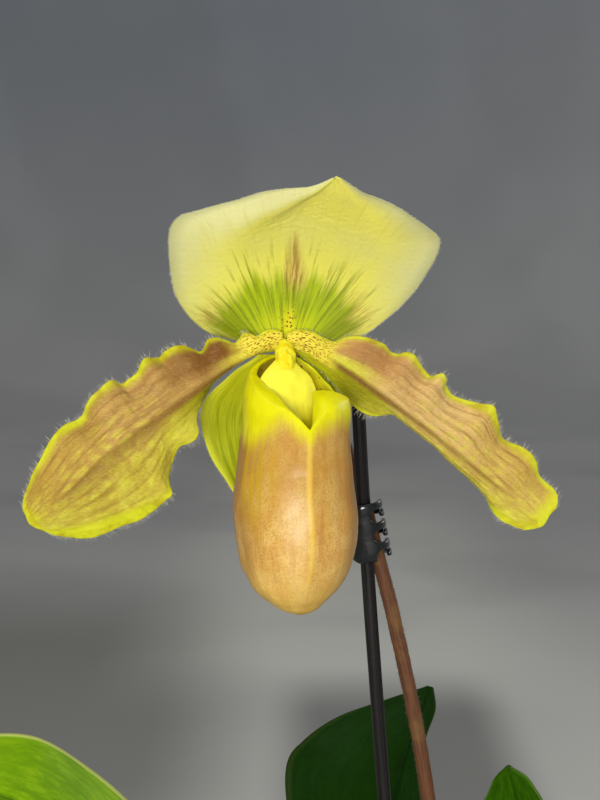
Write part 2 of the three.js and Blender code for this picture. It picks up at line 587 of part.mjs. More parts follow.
function pouchGeometry() {
  const around = 28;
  const levels = [0.06, 0.15, 0.26, 0.4, 0.56, 0.72, 0.87, 1, 1.35, 1.7, 2];
  const outside = [];
  const inside = [];
  levels.forEach((t) => {
    const outer = [];
    const inner = [];
    for (let k = 0; k < around; k += 1) {
      const angle = -Math.PI + (2 * Math.PI * k) / around;
      const step = 2e-3;
      const across = pouchPoint(angle + step, t).sub(pouchPoint(angle - step, t));
      const upper = pouchPoint(angle, Math.min(t + step, 2));
      const lower = pouchPoint(angle, t - step);
      const normal = across.cross(upper.sub(lower)).normalize();
      const p = pouchPoint(angle, t);
      inner.push(turned(p.clone().addScaledVector(normal, -POUCH_WALL)));
      outer.push(turned(p));
    }
    outside.push(outer);
    inside.unshift(inner);
  });
  return skin([...outside, ...inside], fanCap);
}

// ---- column, staminode, ovary ----------------------------------------------------------
const COLUMN_PATH = [[0, [0.2, 1.6, 0.9]], [0.3, [0, -0.5, -0.4]], [0.66, [-0.5, -3, -3]],
  [1, [-0.9, -6, -5.9]]];
const COLUMN_RADIUS = [[0, 0.9], [0.3, 1.3], [0.56, 2.1], [0.7, 2.1], [0.86, 1.6], [1, 1.1]];

function columnGeometry() {
  const path = (s) => turned(point(COLUMN_PATH, s));
  return rod(path, (s) => number(COLUMN_RADIUS, s), 6, 10);
}

function staminodeGeometry() {
  return sheet((s, v) => turned(bladePoint(STAMINODE, s, v)), 6, 4, 1.2);
}

const OVARY_PATH = [[0, [9.6, 24.2, -13.6]], [0.3, [7.6, 20.4, -6.4]], [0.65, [4.2, 12.6, -1.6]],
  [1, [0.8, 3.4, -0.5]]];
const OVARY_RADIUS = [[0, 1.7], [0.2, 2.3], [0.55, 3], [0.85, 2.6], [1, 2.2]];
const OVARY_RIBS = 6;

function ovaryGeometry() {
  const ribbed = (s, angle) => number(OVARY_RADIUS, s) * (1 + 0.06 * Math.cos(OVARY_RIBS * angle));
  return rod((s) => point(OVARY_PATH, s), ribbed, 8, 12);
}

// ---- leaves ----------------------------------------------------------------------------
const LEAF_WIDTH = [[0, 6.5], [0.1, 8.5], [0.3, 16], [0.55, 20.5], [0.8, 19], [0.93, 12], [1, 1]];
const LEAF_CREASE = [[0, -62], [0.2, -45], [0.5, -26], [1, -8]];
const LEAF_CURL = [[0, 0], [0.4, 14], [1, 10]];
const leafSpec = (midrib, face, width = both(LEAF_WIDTH)) => ({
  hand: 1,
  midrib,
  face,
  width,
  crease: both(LEAF_CREASE),
  curl: both(LEAF_CURL),
});

// The fan from its middle outwards: the youngest leaf first.
const LEAVES = {
  leaf_1: leafSpec(
    [[0, [0, 5, 97]], [0.2, [-5, 14, 122]], [0.4, [-11.3, 24, 144.2]], [0.6, [-15.3, 35, 163.5]],
      [0.8, [-12, 47, 180]], [1, [-3.6, 60, 198.6]]],
    [[0, [0.1, -1, 0.2]], [0.5, [0.05, -1, 0.4]], [1, [-0.3, -0.9, 0.6]]],
    [[[0, 6.5], [0.1, 8.5], [0.3, 15], [0.6, 13.8], [0.8, 6.6], [0.9, 5.4], [0.96, 4], [1, 1]],
      [[0, 6.5], [0.1, 8.5], [0.3, 16], [0.6, 26], [0.8, 27.5], [0.9, 16], [0.96, 7.5], [1, 1]]],
  ),
  leaf_2: leafSpec(
    [[0, [5, 0, 96]], [0.25, [14, -4, 122]], [0.5, [20, -10, 152]], [0.75, [13.8, -15, 181.6]],
      [1, [8.3, -19, 201.6]]],
    [[0, [-0.9, -0.2, 0.3]], [0.5, [-0.7, -0.6, 0.3]], [1, [-0.4, -0.9, 0.3]]],
    [[[0, 6.5], [0.1, 8.5], [0.3, 15], [0.55, 16.5], [0.8, 8], [0.93, 5], [1, 0.7]],
      [[0, 6.5], [0.1, 8.5], [0.3, 15], [0.55, 17.5], [0.8, 12.8], [0.93, 4.6], [1, 0.7]]],
  ),
  leaf_3: leafSpec(
    [[0, [-6, -1, 94]], [0.25, [-32, -8, 122]], [0.5, [-65, -16, 155.5]], [0.75, [-97.5, -25, 192.6]],
      [1, [-122, -33, 201.9]]],
    [[0, [0.9, -0.1, 0.5]], [0.5, [0.4, -0.35, 1]], [1, [0.1, -0.5, 1]]],
  ),
  leaf_4: leafSpec(
    [[0, [8, 2, 92]], [0.25, [34, 9, 116]], [0.5, [64, 18, 138]], [0.75, [94, 27, 146]], [1, [120, 34, 136]]],
    [[0, [-0.8, -0.1, 0.6]], [0.5, [-0.3, -0.1, 1]], [1, [0.3, -0.1, 1]]],
  ),
  leaf_5: leafSpec(
    [[0, [-9, 3, 91]], [0.25, [-36, 22, 108]], [0.5, [-62, 42, 124]], [0.75, [-86, 60, 128]],
      [1, [-104, 74, 116]]],
    [[0, [0.7, -0.4, 0.7]], [0.5, [0.2, -0.2, 1]], [1, [-0.4, 0.2, 1]]],
  ),
  leaf_6: leafSpec(
    [[0, [9, -4, 91]], [0.25, [30, -26, 104]], [0.5, [50, -46, 115]], [0.75, [68, -63, 114]],
      [1, [80, -76, 102]]],
    [[0, [-0.6, 0.5, 0.7]], [0.5, [-0.2, 0.1, 1]], [1, [0.4, -0.3, 1]]],
    both([[0, 6.5], [0.1, 8.5], [0.3, 14], [0.55, 17], [0.8, 15.5], [0.93, 10], [1, 1]]),
  ),
};

function leafGeometry(spec) {
  return sheet((s, v) => bladePoint(spec, s, v), 12, 4, LEAF_THICKNESS);
}

// ---- crown, scape, stake ---------------------------------------------------------------
const CROWN_PROFILE = [[0, 74], [3, 74.5], [6, 78], [7.5, 84], [7, 91], [4.5, 95], [0, 96]];
const SCAPE_PATH = [[0, 0, 96.3], [0.2, -3.4, 122], [-3.2, -9.8, 156], [-9.4, -15.6, 193],
  [-12.2, -17.2, 209.8], [-15.6, -18, 226.2], [-18.3, -18.5, 238.2], [-21.5, -18.4, 250.4],
  [-25, -18.4, 263.2], [-29.3, -19.2, 276], [-32.1, -20.5, 285.3]];
const STAKE_PATH = [[-8, -15, 45], [-17.6, -18.9, 168], [-23.9, -21.6, 250], [-26.4, -23.2, 291]];

const curveThrough = (points) => new THREE.CatmullRomCurve3(points.map(vec));

// ---- pot and bark ----------------------------------------------------------------------
/** A body turned about Z from a profile of [radius, height] that starts and ends on the axis. */
function latheZ(profile, segments) {
  const points = profile.map(([radius, height]) => new THREE.Vector2(radius, height));
  const turnedBody = welded(new THREE.LatheGeometry(points, segments).rotateX(Math.PI / 2));
  return bodyGeometry(
    Array.from(turnedBody.getAttribute('position').array),
    Array.from(turnedBody.getIndex().array),
  );
}

function potGeometry() {
  const { height, base, top, rim, rimHeight, wall, floor } = POT;
  const slope = (top - base) / height;
  const outer = (z) => base + slope * z;
  const shell = latheZ([
    [0, 0],
    [base - 1, 0],
    [outer(1), 1],
    [outer(height - rimHeight), height - rimHeight],
    [rim - 0.6, height - rimHeight],
    [rim, height - 1],
    [rim - 0.8, height],
    [outer(height) - wall, height],
    [outer(floor) - wall, floor],
    [0, floor],
  ], 32);
  const holes = [];
  for (let k = 0; k < DRAIN_HOLES.count; k += 1) {
    const angle = (2 * Math.PI * k) / DRAIN_HOLES.count;
    const hole = new THREE.CylinderGeometry(DRAIN_HOLES.radius, DRAIN_HOLES.radius, 12, 12);
    hole.rotateX(Math.PI / 2);
    hole.translate(DRAIN_HOLES.circle * Math.cos(angle), DRAIN_HOLES.circle * Math.sin(angle), 2);
    holes.push(hole);
  }
  return without(shell, holes);
}

/** The bark mix as one body: it fills the pot and its top is lumpy. */
function barkGeometry() {
  const { height, base, top, wall, floor } = POT;
  const slope = (top - base) / height;
  const inner = (z) => base + slope * z - wall - GAP - 0.3;
  const bottom = floor + GAP;
  const rings = [];
  const sides = 20;
  const ring = (radius, z, bump) => {
    const points = [];
    for (let k = 0; k < sides; k += 1) {
      const angle = (2 * Math.PI * k) / sides;
      const lump = bump * (Math.sin(5 * angle + radius) + Math.cos(9 * angle - 0.7 * radius));
      points.push(new THREE.Vector3(radius * Math.cos(angle), radius * Math.sin(angle), z + lump));
    }
    rings.push(points);
  };
  ring(inner(bottom) * 0.6, bottom, 0);
  ring(inner(bottom), bottom, 0);
  ring(inner(BARK_LEVEL - 3), BARK_LEVEL - 3, 0);
  ring(inner(BARK_LEVEL) - 3, BARK_LEVEL - 0.5, 0.5);
  [0.8, 0.6, 0.4, 0.22].forEach((part) => ring(inner(BARK_LEVEL) * part, BARK_LEVEL, 0.8));
  return skin(rings, fanCap);
}

// ---- claw clip -------------------------------------------------------------------------
// In the clip's own frame: its axis is Z, the stems pass through the middle, the hinge is
// on the -X side and the fingers meet on the +X side.
const CLIP_PLACE = [-23.95, -20.15, 255.9];
const HINGE_X = -(CLIP.halfWidth + CLIP.wall + 1.9);
const PIN_RADIUS = 0.8;
const KNUCKLE_RADIUS = 1.7;
const HINGE_CLEAR = 2.05;
const FINGER = 1.7;
const OVAL_POWER = 2.5;
const TAB = { angle: 35, from: 1.2, to: 9.5, thick: 1.2 };
const KNUCKLES_BACK = [[-5.2, -3.6], [3.6, 5.2]];
const KNUCKLES_FRONT = [[-3.3, -1.9], [1.9, 3.3]];
const FREE_OF_BACK = [[-3.6, 3.6]];
const FREE_OF_FRONT = [[-7, -3.3], [-1.9, 1.9], [3.3, 7]];
const FINGERS_FRONT = [5.65, 1.15, -3.35];
const FINGERS_BACK = [3.4, -1.1, -5.65];

/** A flat outline in XY made into a slab between two heights. */
function slab(outline, bottom, top) {
  const shape = new THREE.Shape(outline.map((p) => new THREE.Vector2(p[0], p[1])));
  const geometry = new THREE.ExtrudeGeometry(shape, { depth: top - bottom, bevelEnabled: false });
  return geometry.translate(0, 0, bottom);
}

/** A point of the clip's rounded-oval section, `offset` outside its inner face. */
function ovalPoint(degrees, offset) {
  const angle = THREE.MathUtils.degToRad(degrees);
  const round = (value) => Math.sign(value) * Math.abs(value) ** (2 / OVAL_POWER);
  const a = CLIP.halfWidth + offset;
  const b = CLIP.halfDepth + offset;
  return [a * round(Math.cos(angle)), b * round(Math.sin(angle))];
}

/** Outline of a band of the clip's wall from one angle to another, in degrees. */
function bandOutline(from, to, steps) {
  const arc = (offset) => Array.from({ length: steps + 1 }, (_, i) => (
    ovalPoint(from + ((to - from) * i) / steps, offset)
  ));
  return [...arc(CLIP.wall), ...arc(0).reverse()];
}

/** A cylinder on the hinge's axis between two heights. */
function hingeCylinder(radius, [from, to]) {
  const cylinder = new THREE.CylinderGeometry(radius, radius, to - from, 12);
  return cylinder.rotateX(Math.PI / 2).translate(HINGE_X, 0, (from + to) / 2);
}

/** One jaw: a curved plate, three fingers, knuckles on the hinge and a finger tab. */
function jawGeometry(side, fingerHeights, knuckles, freeRanges) {
  const { height } = CLIP;
  const outer = CLIP.halfWidth + CLIP.wall;
  const end = height / 2;
  const band = (from, to, steps, bottom, top) => (
    slab(bandOutline(side * from, side * to, steps), bottom, top)
  );
  const plate = band(166, 80, 7, -end, end);
  const fingers = fingerHeights.map((z) => band(84, -24, 7, z - FINGER / 2, z + FINGER / 2));
  const tabAngle = THREE.MathUtils.degToRad(180 - TAB.angle);
  const along = [Math.cos(tabAngle), Math.sin(tabAngle)];
  const at = (a, b) => [
    HINGE_X + along[0] * a - along[1] * b,
    side * (along[1] * a + along[0] * b),
  ];
  const tab = slab([
    at(TAB.from, -1.6), at(TAB.to, -0.2 - TAB.thick), at(TAB.to, -0.2), at(TAB.from, 0.2),
  ], -end * 0.8, end * 0.8);
  const neck = slab([
    [-outer + 0.6, side * 0.9],
    [-outer + 1.2, side * 2.6],
    [HINGE_X + 0.4, side * 3.1],
    [HINGE_X - 1.4, side * 2.9],
    [HINGE_X - 1.0, side * 1.3],
    [HINGE_X + 0.6, side * 1.3],
  ], -end * 0.8, end * 0.8);
  const plain = joined(plate, neck, tab, ...fingers);
  const relieved = without(plain, freeRanges.map((range) => hingeCylinder(HINGE_CLEAR, range)));
  const rings = knuckles.map((range) => hingeCylinder(KNUCKLE_RADIUS, range));
  const bore = hingeCylinder(PIN_RADIUS + GAP, [-height, height]);
  return without(joined(relieved, ...rings), [bore]);
}

function clipPinGeometry() {
  const head = 5.5;
  const pin = latheZ([
    [0, -head - 0.7], [1.3, -head - 0.5], [1.3, -head], [PIN_RADIUS, -head],
    [PIN_RADIUS, head], [1.3, head], [1.3, head + 0.5], [0, head + 0.7],
  ], 12);
  return pin.translate(HINGE_X, 0, 0);
}

function clipSpringGeometry() {
  const turns = 3;
  const points = [];
  for (let i = 0; i <= turns * 8; i += 1) {
    const angle = (2 * Math.PI * i) / 8;
    const z = -1.15 + (2.3 * i) / (turns * 8);
    points.push([HINGE_X + 1.5 * Math.cos(angle), 1.5 * Math.sin(angle), z]);
  }
  return bar(curveThrough(points), 0.25, turns * 7, 4);
}

// ---- the flower and the fan of leaves --------------------------------------------------
/** The flower's pieces from the front inwards; `scape` is given in the flower's frame. */
function flowerGeometries(scape) {
  return clearedInOrder({
    staminode: staminodeGeometry(),
    column: columnGeometry(),
    pouch: pouchGeometry(),
    petal_left: petal(PETAL_LEFT),
    petal_right: petal(PETAL_RIGHT),
    dorsal_sepal: railSheet(DORSAL_SEPAL, 20, 12, SEPAL_THICKNESS),
    synsepal: sheet((s, v) => bladePoint(SYNSEPAL, s, v), 11, 8, SEPAL_THICKNESS),
    ovary: ovaryGeometry(),
    bract: sheet((s, v) => bladePoint(BRACT, s, v), 6, 8, 0.7),
  }, [scape]);
}

/** Leaves from the middle of the fan outwards, each clear of those inside it. */
function leafGeometries(inside) {
  const shapes = Object.fromEntries(
    Object.entries(LEAVES).map(([name, spec]) => [name, leafGeometry(spec)]),
  );
  return clearedInOrder(shapes, inside);
}

// ---- materials and assembly ------------------------------------------------------------
const surface = (color, roughness, metalness = 0) => (
  new THREE.MeshStandardMaterial({ color, roughness, metalness })
);
const MATERIALS = {
  pot: surface(0x2b2c2a, 0.55),
  bark: surface(0x5a3a22, 0.9),
  leaf: surface(0x3f7a1c, 0.4),
  crown: surface(0x6f9a3a, 0.5),
  scape: surface(0x7a4a33, 0.7),
  stake: surface(0x17171a, 0.4),
  bract: surface(0x9aa04a, 0.6),
  ovary: surface(0x7a6a34, 0.6),
  sepal: surface(0xdcdc8c, 0.5),
  petal: surface(0xb08a45, 0.5),
  pouch: surface(0xc08a3c, 0.4),
  staminode: surface(0xe0cc20, 0.35),
  clip: surface(0x2e3436, 0.3),
  spring: surface(0xb8b8b8, 0.35, 1),
};

function mesh(name, geometry, material) {
  const made = new THREE.Mesh(geometry, material);
  made.name = name;
  return made;
}

const FLOWER_MATERIALS = {
  dorsal_sepal: MATERIALS.sepal,
  synsepal: MATERIALS.sepal,
  petal_left: MATERIALS.petal,
  petal_right: MATERIALS.petal,
  pouch: MATERIALS.pouch,
  column: MATERIALS.staminode,
  staminode: MATERIALS.staminode,
  ovary: MATERIALS.ovary,
  bract: MATERIALS.bract,
};

function buildFlower(scape) {
  const parts = flowerGeometries(scape.clone().translate(...FLOWER_CENTRE.map((value) => -value)));
  const flower = new THREE.Group();
  flower.position.set(...FLOWER_CENTRE);
  Object.entries(parts).forEach(([name, geometry]) => {
    flower.add(mesh(name, geometry, FLOWER_MATERIALS[name]));
  });
  return flower;
}

function buildClip() {
  const clip = new THREE.Group();
  clip.position.set(...CLIP_PLACE);
  clip.rotation.y = -CLIP.lean;
  const back = jawGeometry(1, FINGERS_BACK, KNUCKLES_BACK, FREE_OF_BACK);
  const front = jawGeometry(-1, FINGERS_FRONT, KNUCKLES_FRONT, FREE_OF_FRONT);
  clip.add(
    mesh('clip_jaw_back', back, MATERIALS.clip),
    mesh('clip_jaw_front', front, MATERIALS.clip),
    mesh('clip_pin', clipPinGeometry(), MATERIALS.spring),
    mesh('clip_spring', clipSpringGeometry(), MATERIALS.spring),
  );
  return clip;
}

function buildPlant(scape) {
  const plant = new THREE.Group();
  const crown = latheZ(CROWN_PROFILE, 16);
  const stake = bar(curveThrough(STAKE_PATH), STAKE_RADIUS, 10, 10);
  const leaves = leafGeometries([crown, scape, stake]);
  plant.add(
    mesh('crown', crown, MATERIALS.crown),
    mesh('scape', scape, MATERIALS.scape),
    mesh('stake', stake, MATERIALS.stake),
    mesh('pot', potGeometry(), MATERIALS.pot),
    mesh('bark_mix', clearOf(barkGeometry(), [crown, stake]), MATERIALS.bark),
  );
  Object.entries(leaves).forEach(([name, geometry]) => plant.add(mesh(name, geometry, MATERIALS.leaf)));
  return plant;
}

const scapeGeometry = bar(curveThrough(SCAPE_PATH), SCAPE_RADIUS, 26, 8);
const orchid = new THREE.Group();
orchid.add(buildPlant(scapeGeometry), buildFlower(scapeGeometry), buildClip());

export default orchid;
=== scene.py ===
"""Looks of the potted slipper orchid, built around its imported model.

Shapes are worked out in millimetres in the part's own frame and become metres in make_piece.
"""

import math

import bpy
import numpy as np
from mathutils import Matrix


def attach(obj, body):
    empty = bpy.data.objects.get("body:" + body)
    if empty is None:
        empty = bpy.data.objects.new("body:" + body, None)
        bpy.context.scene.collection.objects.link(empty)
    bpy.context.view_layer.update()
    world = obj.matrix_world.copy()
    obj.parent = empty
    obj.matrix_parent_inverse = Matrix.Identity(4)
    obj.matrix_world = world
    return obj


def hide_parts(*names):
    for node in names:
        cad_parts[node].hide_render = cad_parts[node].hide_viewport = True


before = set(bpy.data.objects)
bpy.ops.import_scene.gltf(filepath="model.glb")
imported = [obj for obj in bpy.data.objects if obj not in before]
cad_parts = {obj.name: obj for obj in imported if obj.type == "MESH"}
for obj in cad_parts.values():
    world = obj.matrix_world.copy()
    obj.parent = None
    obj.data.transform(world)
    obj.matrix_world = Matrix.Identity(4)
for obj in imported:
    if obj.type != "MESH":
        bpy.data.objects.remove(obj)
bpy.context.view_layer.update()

MM = 0.001
FLOWER_CENTRE = np.array([-42.0, -45.0, 300.0])
FLOWER_YAW = math.radians(15)
PLANT = "plant"
JAW = "clip_jaw"


# ---- small maths -------------------------------------------------------------------------
def unit(v):
    return v / np.maximum(np.linalg.norm(v, axis=-1, keepdims=True), 1e-12)


def spline(keys, t):
    """Cubic through keys, each (t, number) or (t, x, y, z), at the numbers t."""
    keys = np.array(keys, float)
    at = keys[:, 0]
    value = keys[:, 1] if keys.shape[1] == 2 else keys[:, 1:]
    if len(at) > 2:
        slope = np.gradient(value, at, axis=0)
    else:
        slope = np.repeat([(value[1] - value[0]) / (at[1] - at[0])], 2, axis=0)
    t = np.clip(np.asarray(t, float), at[0], at[-1])
    i = np.clip(np.searchsorted(at, t, side="right") - 1, 0, len(at) - 2)
    h = at[i + 1] - at[i]
    u = (t - at[i]) / h
    if value.ndim > 1:
        h = h[..., None]
        u = u[..., None]
    return between(u, value[i], value[i + 1], h * slope[i], h * slope[i + 1])


def between(u, start, end, start_slope, end_slope):
    """The cubic that leaves start and reaches end with the given slopes, at u from 0 to 1."""
    leave = (2 * u**3 - 3 * u**2 + 1) * start + (u**3 - 2 * u**2 + u) * start_slope
    return leave + (3 * u**2 - 2 * u**3) * end + (u**3 - u**2) * end_slope


def through(points, count):
    """Evenly numbered points along a smooth curve through the given points."""
    points = np.array(points, float)
    steps = np.linalg.norm(np.diff(points, axis=0), axis=1) ** 0.5
    at = np.concatenate([[0], np.cumsum(steps)])
    return spline(np.column_stack([at / at[-1], points]), np.linspace(0, 1, count))


def ripple(points, size, seed):
    """Smooth random bumps about -1..1 high and `size` millimetres across."""
    waves = 28
    rng = np.random.default_rng(seed)
    directions = unit(rng.normal(size=(waves, 3)))
    rates = 2 * math.pi / size * rng.uniform(0.55, 1.35, waves)
    phases = rng.uniform(0, 2 * math.pi, waves)
    total = np.zeros(points.shape[:-1])
    for direction, rate, phase in zip(directions, rates, phases):
        total += np.sin(points @ direction * rate + phase)
    return total / math.sqrt(waves)


def step(x, low, high):
    """0 below low, 1 above high, smooth between."""
    u = np.clip((x - low) / (high - low), 0, 1)
    return u * u * (3 - 2 * u)


def hump(x, width):
    """A round ridge, 1 high at x = 0 and gone at about twice the width."""
    return np.exp(-((x / width) ** 2))


def signed_power(x, power):
    """x to a power, with the sign of x: it squares a circle's sine and cosine up."""
    return np.sign(x) * np.abs(x) ** power


def circle(count):
    """Evenly spaced angles once round."""
    return np.linspace(0, 2 * math.pi, count, endpoint=False)


def turned(points):
    """Points of the flower's own frame turned to where the flower faces."""
    c = math.cos(FLOWER_YAW)
    s = math.sin(FLOWER_YAW)
    x, y, z = points[..., 0], points[..., 1], points[..., 2]
    return np.stack([x * c - y * s, x * s + y * c, z], -1)


# ---- meshes ------------------------------------------------------------------------------
class Shape:
    """Closed bodies gathered into one mesh, each point with its place on the surface."""

    def __init__(self):
        self.points = []
        self.where = []
        self.faces = []
        self.count = 0

    def add(self, points, faces, where=None):
        points = np.asarray(points, float).reshape(-1, 3)
        if where is None:
            where = np.zeros_like(points)
        if signed_volume(points, faces) < 0:
            faces = [part[:, ::-1] for part in faces]
        self.points.append(points)
        self.where.append(np.asarray(where, float).reshape(-1, 3))
        self.faces.extend(part + self.count for part in faces)
        self.count += len(points)
        return self


def signed_volume(points, faces):
    """Six times a closed body's volume, negative where its faces are wound inwards."""
    total = 0.0
    middle = points.mean(0)
    for part in faces:
        a = points[part[:, 0]] - middle
        for k in range(1, part.shape[1] - 1):
            b = points[part[:, k]] - middle
            c = points[part[:, k + 1]] - middle
            total += np.einsum("ij,ij->i", a, np.cross(b, c)).sum()
    return total


def grid_faces(rows, columns, wrap=False):
    """Quads of a grid of points; wrap joins the last column to the first."""
    r = np.arange(rows - 1)[:, None]
    c = np.arange(columns if wrap else columns - 1)[None, :]
    a = r * columns + c
    b = r * columns + (c + 1) % columns
    return np.stack([a, b, b + columns, a + columns], -1).reshape(-1, 4)


def ring_fan(start, around, centre, last):
    """Triangles that close a ring of points to its centre point."""
    a = start + np.arange(around)
    b = start + (np.arange(around) + 1) % around
    middle = np.full(around, centre)
    return np.stack([a, b, middle] if last else [b, a, middle], -1)


def loft(shape, rings, where=None):
    """A closed body through rings (count, around, 3)."""
    count, around = rings.shape[:2]
    points = np.concatenate([rings.reshape(-1, 3), [rings[0].mean(0), rings[-1].mean(0)]])
    faces = [
        grid_faces(count, around, wrap=True),
        ring_fan(0, around, count * around, False),
        ring_fan((count - 1) * around, around, count * around + 1, True),
    ]
    if where is not None:
        where = np.concatenate([where.reshape(-1, 3), [where[0].mean(0), where[-1].mean(0)]])
    return shape.add(points, faces, where)


def grid_normals(points):
    """Unit normals of a grid of points."""
    across = np.gradient(points, axis=1)
    along = np.gradient(points, axis=0)
    return unit(np.cross(along, across))


def pushed(points, normals, amount):
    """Points moved along their normals."""
    return points + normals * amount[..., None]


def thick_sheet(middle, normals, s, v, front, back, shape=None):
    """A closed sheet about a grid of points, by default in a new shape.

    `front` and `back` are the distances from the grid to the sheet's two faces.
    """
    rows, columns = middle.shape[:2]
    ahead = pushed(middle, normals, front)
    behind = pushed(middle, normals, -back)
    size = rows * columns
    grid = grid_faces(rows, columns)
    index = np.arange(size).reshape(rows, columns)
    border = np.concatenate([index[0, :-1], index[:-1, -1], index[-1, :0:-1], index[:0:-1, 0]])
    after = np.roll(border, -1)
    rim = np.stack([after, border, border + size, after + size], -1)
    side = np.ones_like(s)
    where = np.concatenate([
        np.stack([s, v, side], -1).reshape(-1, 3),
        np.stack([s, v, -side], -1).reshape(-1, 3),
    ])
    points = np.concatenate([ahead.reshape(-1, 3), behind.reshape(-1, 3)])
    return (shape or Shape()).add(points, [grid, grid[:, ::-1] + size, rim], where)


def along_path(path):
    """Tangents and two side directions that don't twist along a path of points."""
    tangents = unit(np.gradient(path, axis=0))
    start = np.array([1.0, 0.0, 0.0]) if abs(tangents[0][0]) < 0.9 else np.array([0.0, 1.0, 0.0])
    sides = []
    for tangent in tangents:
        start = unit(start - start @ tangent * tangent)
        sides.append(start)
    sides = np.array(sides)
    return tangents, sides, np.cross(tangents, sides)


def ring_about(sides, ups, angle):
    """At each point of a path, the directions at these angles between side and up."""
    return sides[:, None, :] * np.cos(angle)[None, :, None] + ups[:, None, :] * np.sin(angle)[None, :, None]


def rod(shape, path, radius, around, domed, relief=None):
    """A round rod along a path; its ends are domed over that many radii."""
    path = np.asarray(path, float)
    count = len(path)
    _, sides, ups = along_path(path)
    s = np.linspace(0, 1, count)
    radii = np.broadcast_to(np.asarray(radius, float), (count,)).copy()
    run = np.concatenate([[0], np.cumsum(np.linalg.norm(np.diff(path, axis=0), axis=1))])
    reach = np.minimum(run, run[-1] - run) / (domed * radii)
    radii *= np.sqrt(1 - (1 - np.clip(reach, 0.02, 1)) ** 2)
    angle = circle(around)
    r = radii[:, None] * np.ones(around)
    if relief is not None:
        r = r + relief(s[:, None], angle[None, :]) * (radii / radii.max())[:, None]
    ring = ring_about(sides, ups, angle)
    where = np.stack(np.broadcast_arrays(s[:, None], angle[None, :] / math.pi - 1, 1.0), -1)
    return loft(shape, path[:, None, :] + ring * r[..., None], where)


def revolved(profile, around):
    """Rings of points where a profile of (radius, height) turns about Z."""
    profile = np.array(profile, float)
    radius, height = profile[:, 0, None], profile[:, 1, None]
    angle = circle(around)
    return np.stack([radius * np.cos(angle), radius * np.sin(angle), np.repeat(height, around, 1)], -1)


def lathe(shape, profile, around, centre=(0, 0, 0)):
    """A body turned about Z from a closed profile, or one that starts and ends on the axis."""
    profile = np.array(profile, float)
    rings = revolved(profile, around) + np.array(centre)
    s = np.linspace(0, 1, len(profile))
    where = np.stack(np.broadcast_arrays(s[:, None], circle(around)[None, :] / math.pi - 1, 1.0), -1)
    if profile[0, 0] > 0:
        count = len(profile)
        faces = grid_faces(count + 1, around, wrap=True) % (count * around)
        return shape.add(rings.reshape(-1, 3), [faces], where)
    return loft(shape, rings[1:-1], where[1:-1])


def hairs(shape, roots, directions, lengths, radius, sag, rng):
    """Thin tapering hairs, each a closed three-sided spike that sags by `sag` of its length."""
    count = len(roots)
    levels = np.array([0.0, 0.35, 0.7])
    directions = unit(directions)
    helper = unit(rng.normal(size=(count, 3)))
    side = unit(np.cross(directions, helper))
    up = np.cross(directions, side)
    droop = np.array([0.0, 0.0, -1.0]) * sag + helper * 0.12
    line = (roots[:, None, :] + directions[:, None, :] * (lengths[:, None] * levels)[..., None]
            + droop[:, None, :] * (lengths[:, None] * levels**2)[..., None])
    tip = roots + (directions + droop) * lengths[:, None]
    ring = ring_about(side, up, np.arange(3) * 2 * math.pi / 3)
    taper = radius * np.array([1.0, 0.8, 0.45])
    rings = line[:, :, None, :] + ring[:, None, :, :] * taper[None, :, None, None]
    points = np.concatenate([rings.reshape(count, 9, 3), tip[:, None, :]], 1)
    body = np.arange(count)[:, None, None] * 10
    quads = grid_faces(3, 3, wrap=True)[None] + body
    top = ring_fan(6, 3, 9, True)[None] + body
    base = np.array([[2, 1, 0]])[None] + body
    shade = rng.uniform(0, 1, (count, 1))
    along = np.broadcast_to(np.append(np.repeat(levels, 3), 1.0), (count, 10))
    where = np.stack([along, np.broadcast_to(shade, (count, 10)), np.ones((count, 10))], -1)
    faces = [quads.reshape(-1, 4), top.reshape(-1, 3), base.reshape(-1, 3)]
    return shape.add(points, faces, where)


def add_object(name, data):
    made = bpy.data.objects.new(name, data)
    bpy.context.scene.collection.objects.link(made)
    return made


def add_mesh(name, points, faces, material):
    mesh = bpy.data.meshes.new(name)
    mesh.from_pydata(points.tolist(), [], faces)
    mesh.shade_smooth()
    mesh.materials.append(material)
    return add_object(name, mesh)


def make_piece(name, shape, material, body=PLANT, replaces=()):
    """An object from a shape in millimetres that rides on a body of the model."""
    faces = [face for part in shape.faces for face in part.tolist()]
    piece = add_mesh(name, np.concatenate(shape.points) * MM, faces, material)
    layer = piece.data.attributes.new("where", "FLOAT_VECTOR", "POINT")
    layer.data.foreach_set("vector", np.concatenate(shape.where).ravel())
    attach(piece, body)
    if replaces:
        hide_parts(*replaces)
    return piece


def with_modifiers(piece, *settings):
    """Adds each (type, {setting: value}) modifier and bakes the result into the piece's mesh."""
    for kind, values in settings:
        modifier = piece.modifiers.new(kind.lower(), kind)
        for name, value in values.items():
            setattr(modifier, name, value)
    graph = bpy.context.evaluated_depsgraph_get()
    result = bpy.data.meshes.new_from_object(piece.evaluated_get(graph))
    piece.modifiers.clear()
    piece.data = result
    result.shade_smooth()


# ---- materials ---------------------------------------------------------------------------
def rgb(red, green, blue):
    """A display colour, 0..255, as the linear colour that shaders take."""
    def linear(value):
        value /= 255
        return value / 12.92 if value <= 0.04045 else ((value + 0.055) / 1.055) ** 2.4
    return tuple(linear(value) for value in (red, green, blue))


class Number:
    """A number that varies over a surface. Arithmetic with it makes math nodes."""

    def __init__(self, paint, socket):
        self.paint = paint
        self.socket = socket

    def __add__(self, other):
        return self.paint.math("ADD", self, other)

    def __sub__(self, other):
        return self.paint.math("SUBTRACT", self, other)

    def __rsub__(self, other):
        return self.paint.math("SUBTRACT", other, self)

    def __mul__(self, other):
        return self.paint.math("MULTIPLY", self, other)

    def __abs__(self):
        return self.paint.math("ABSOLUTE", self)

    __radd__ = __add__
    __rmul__ = __mul__


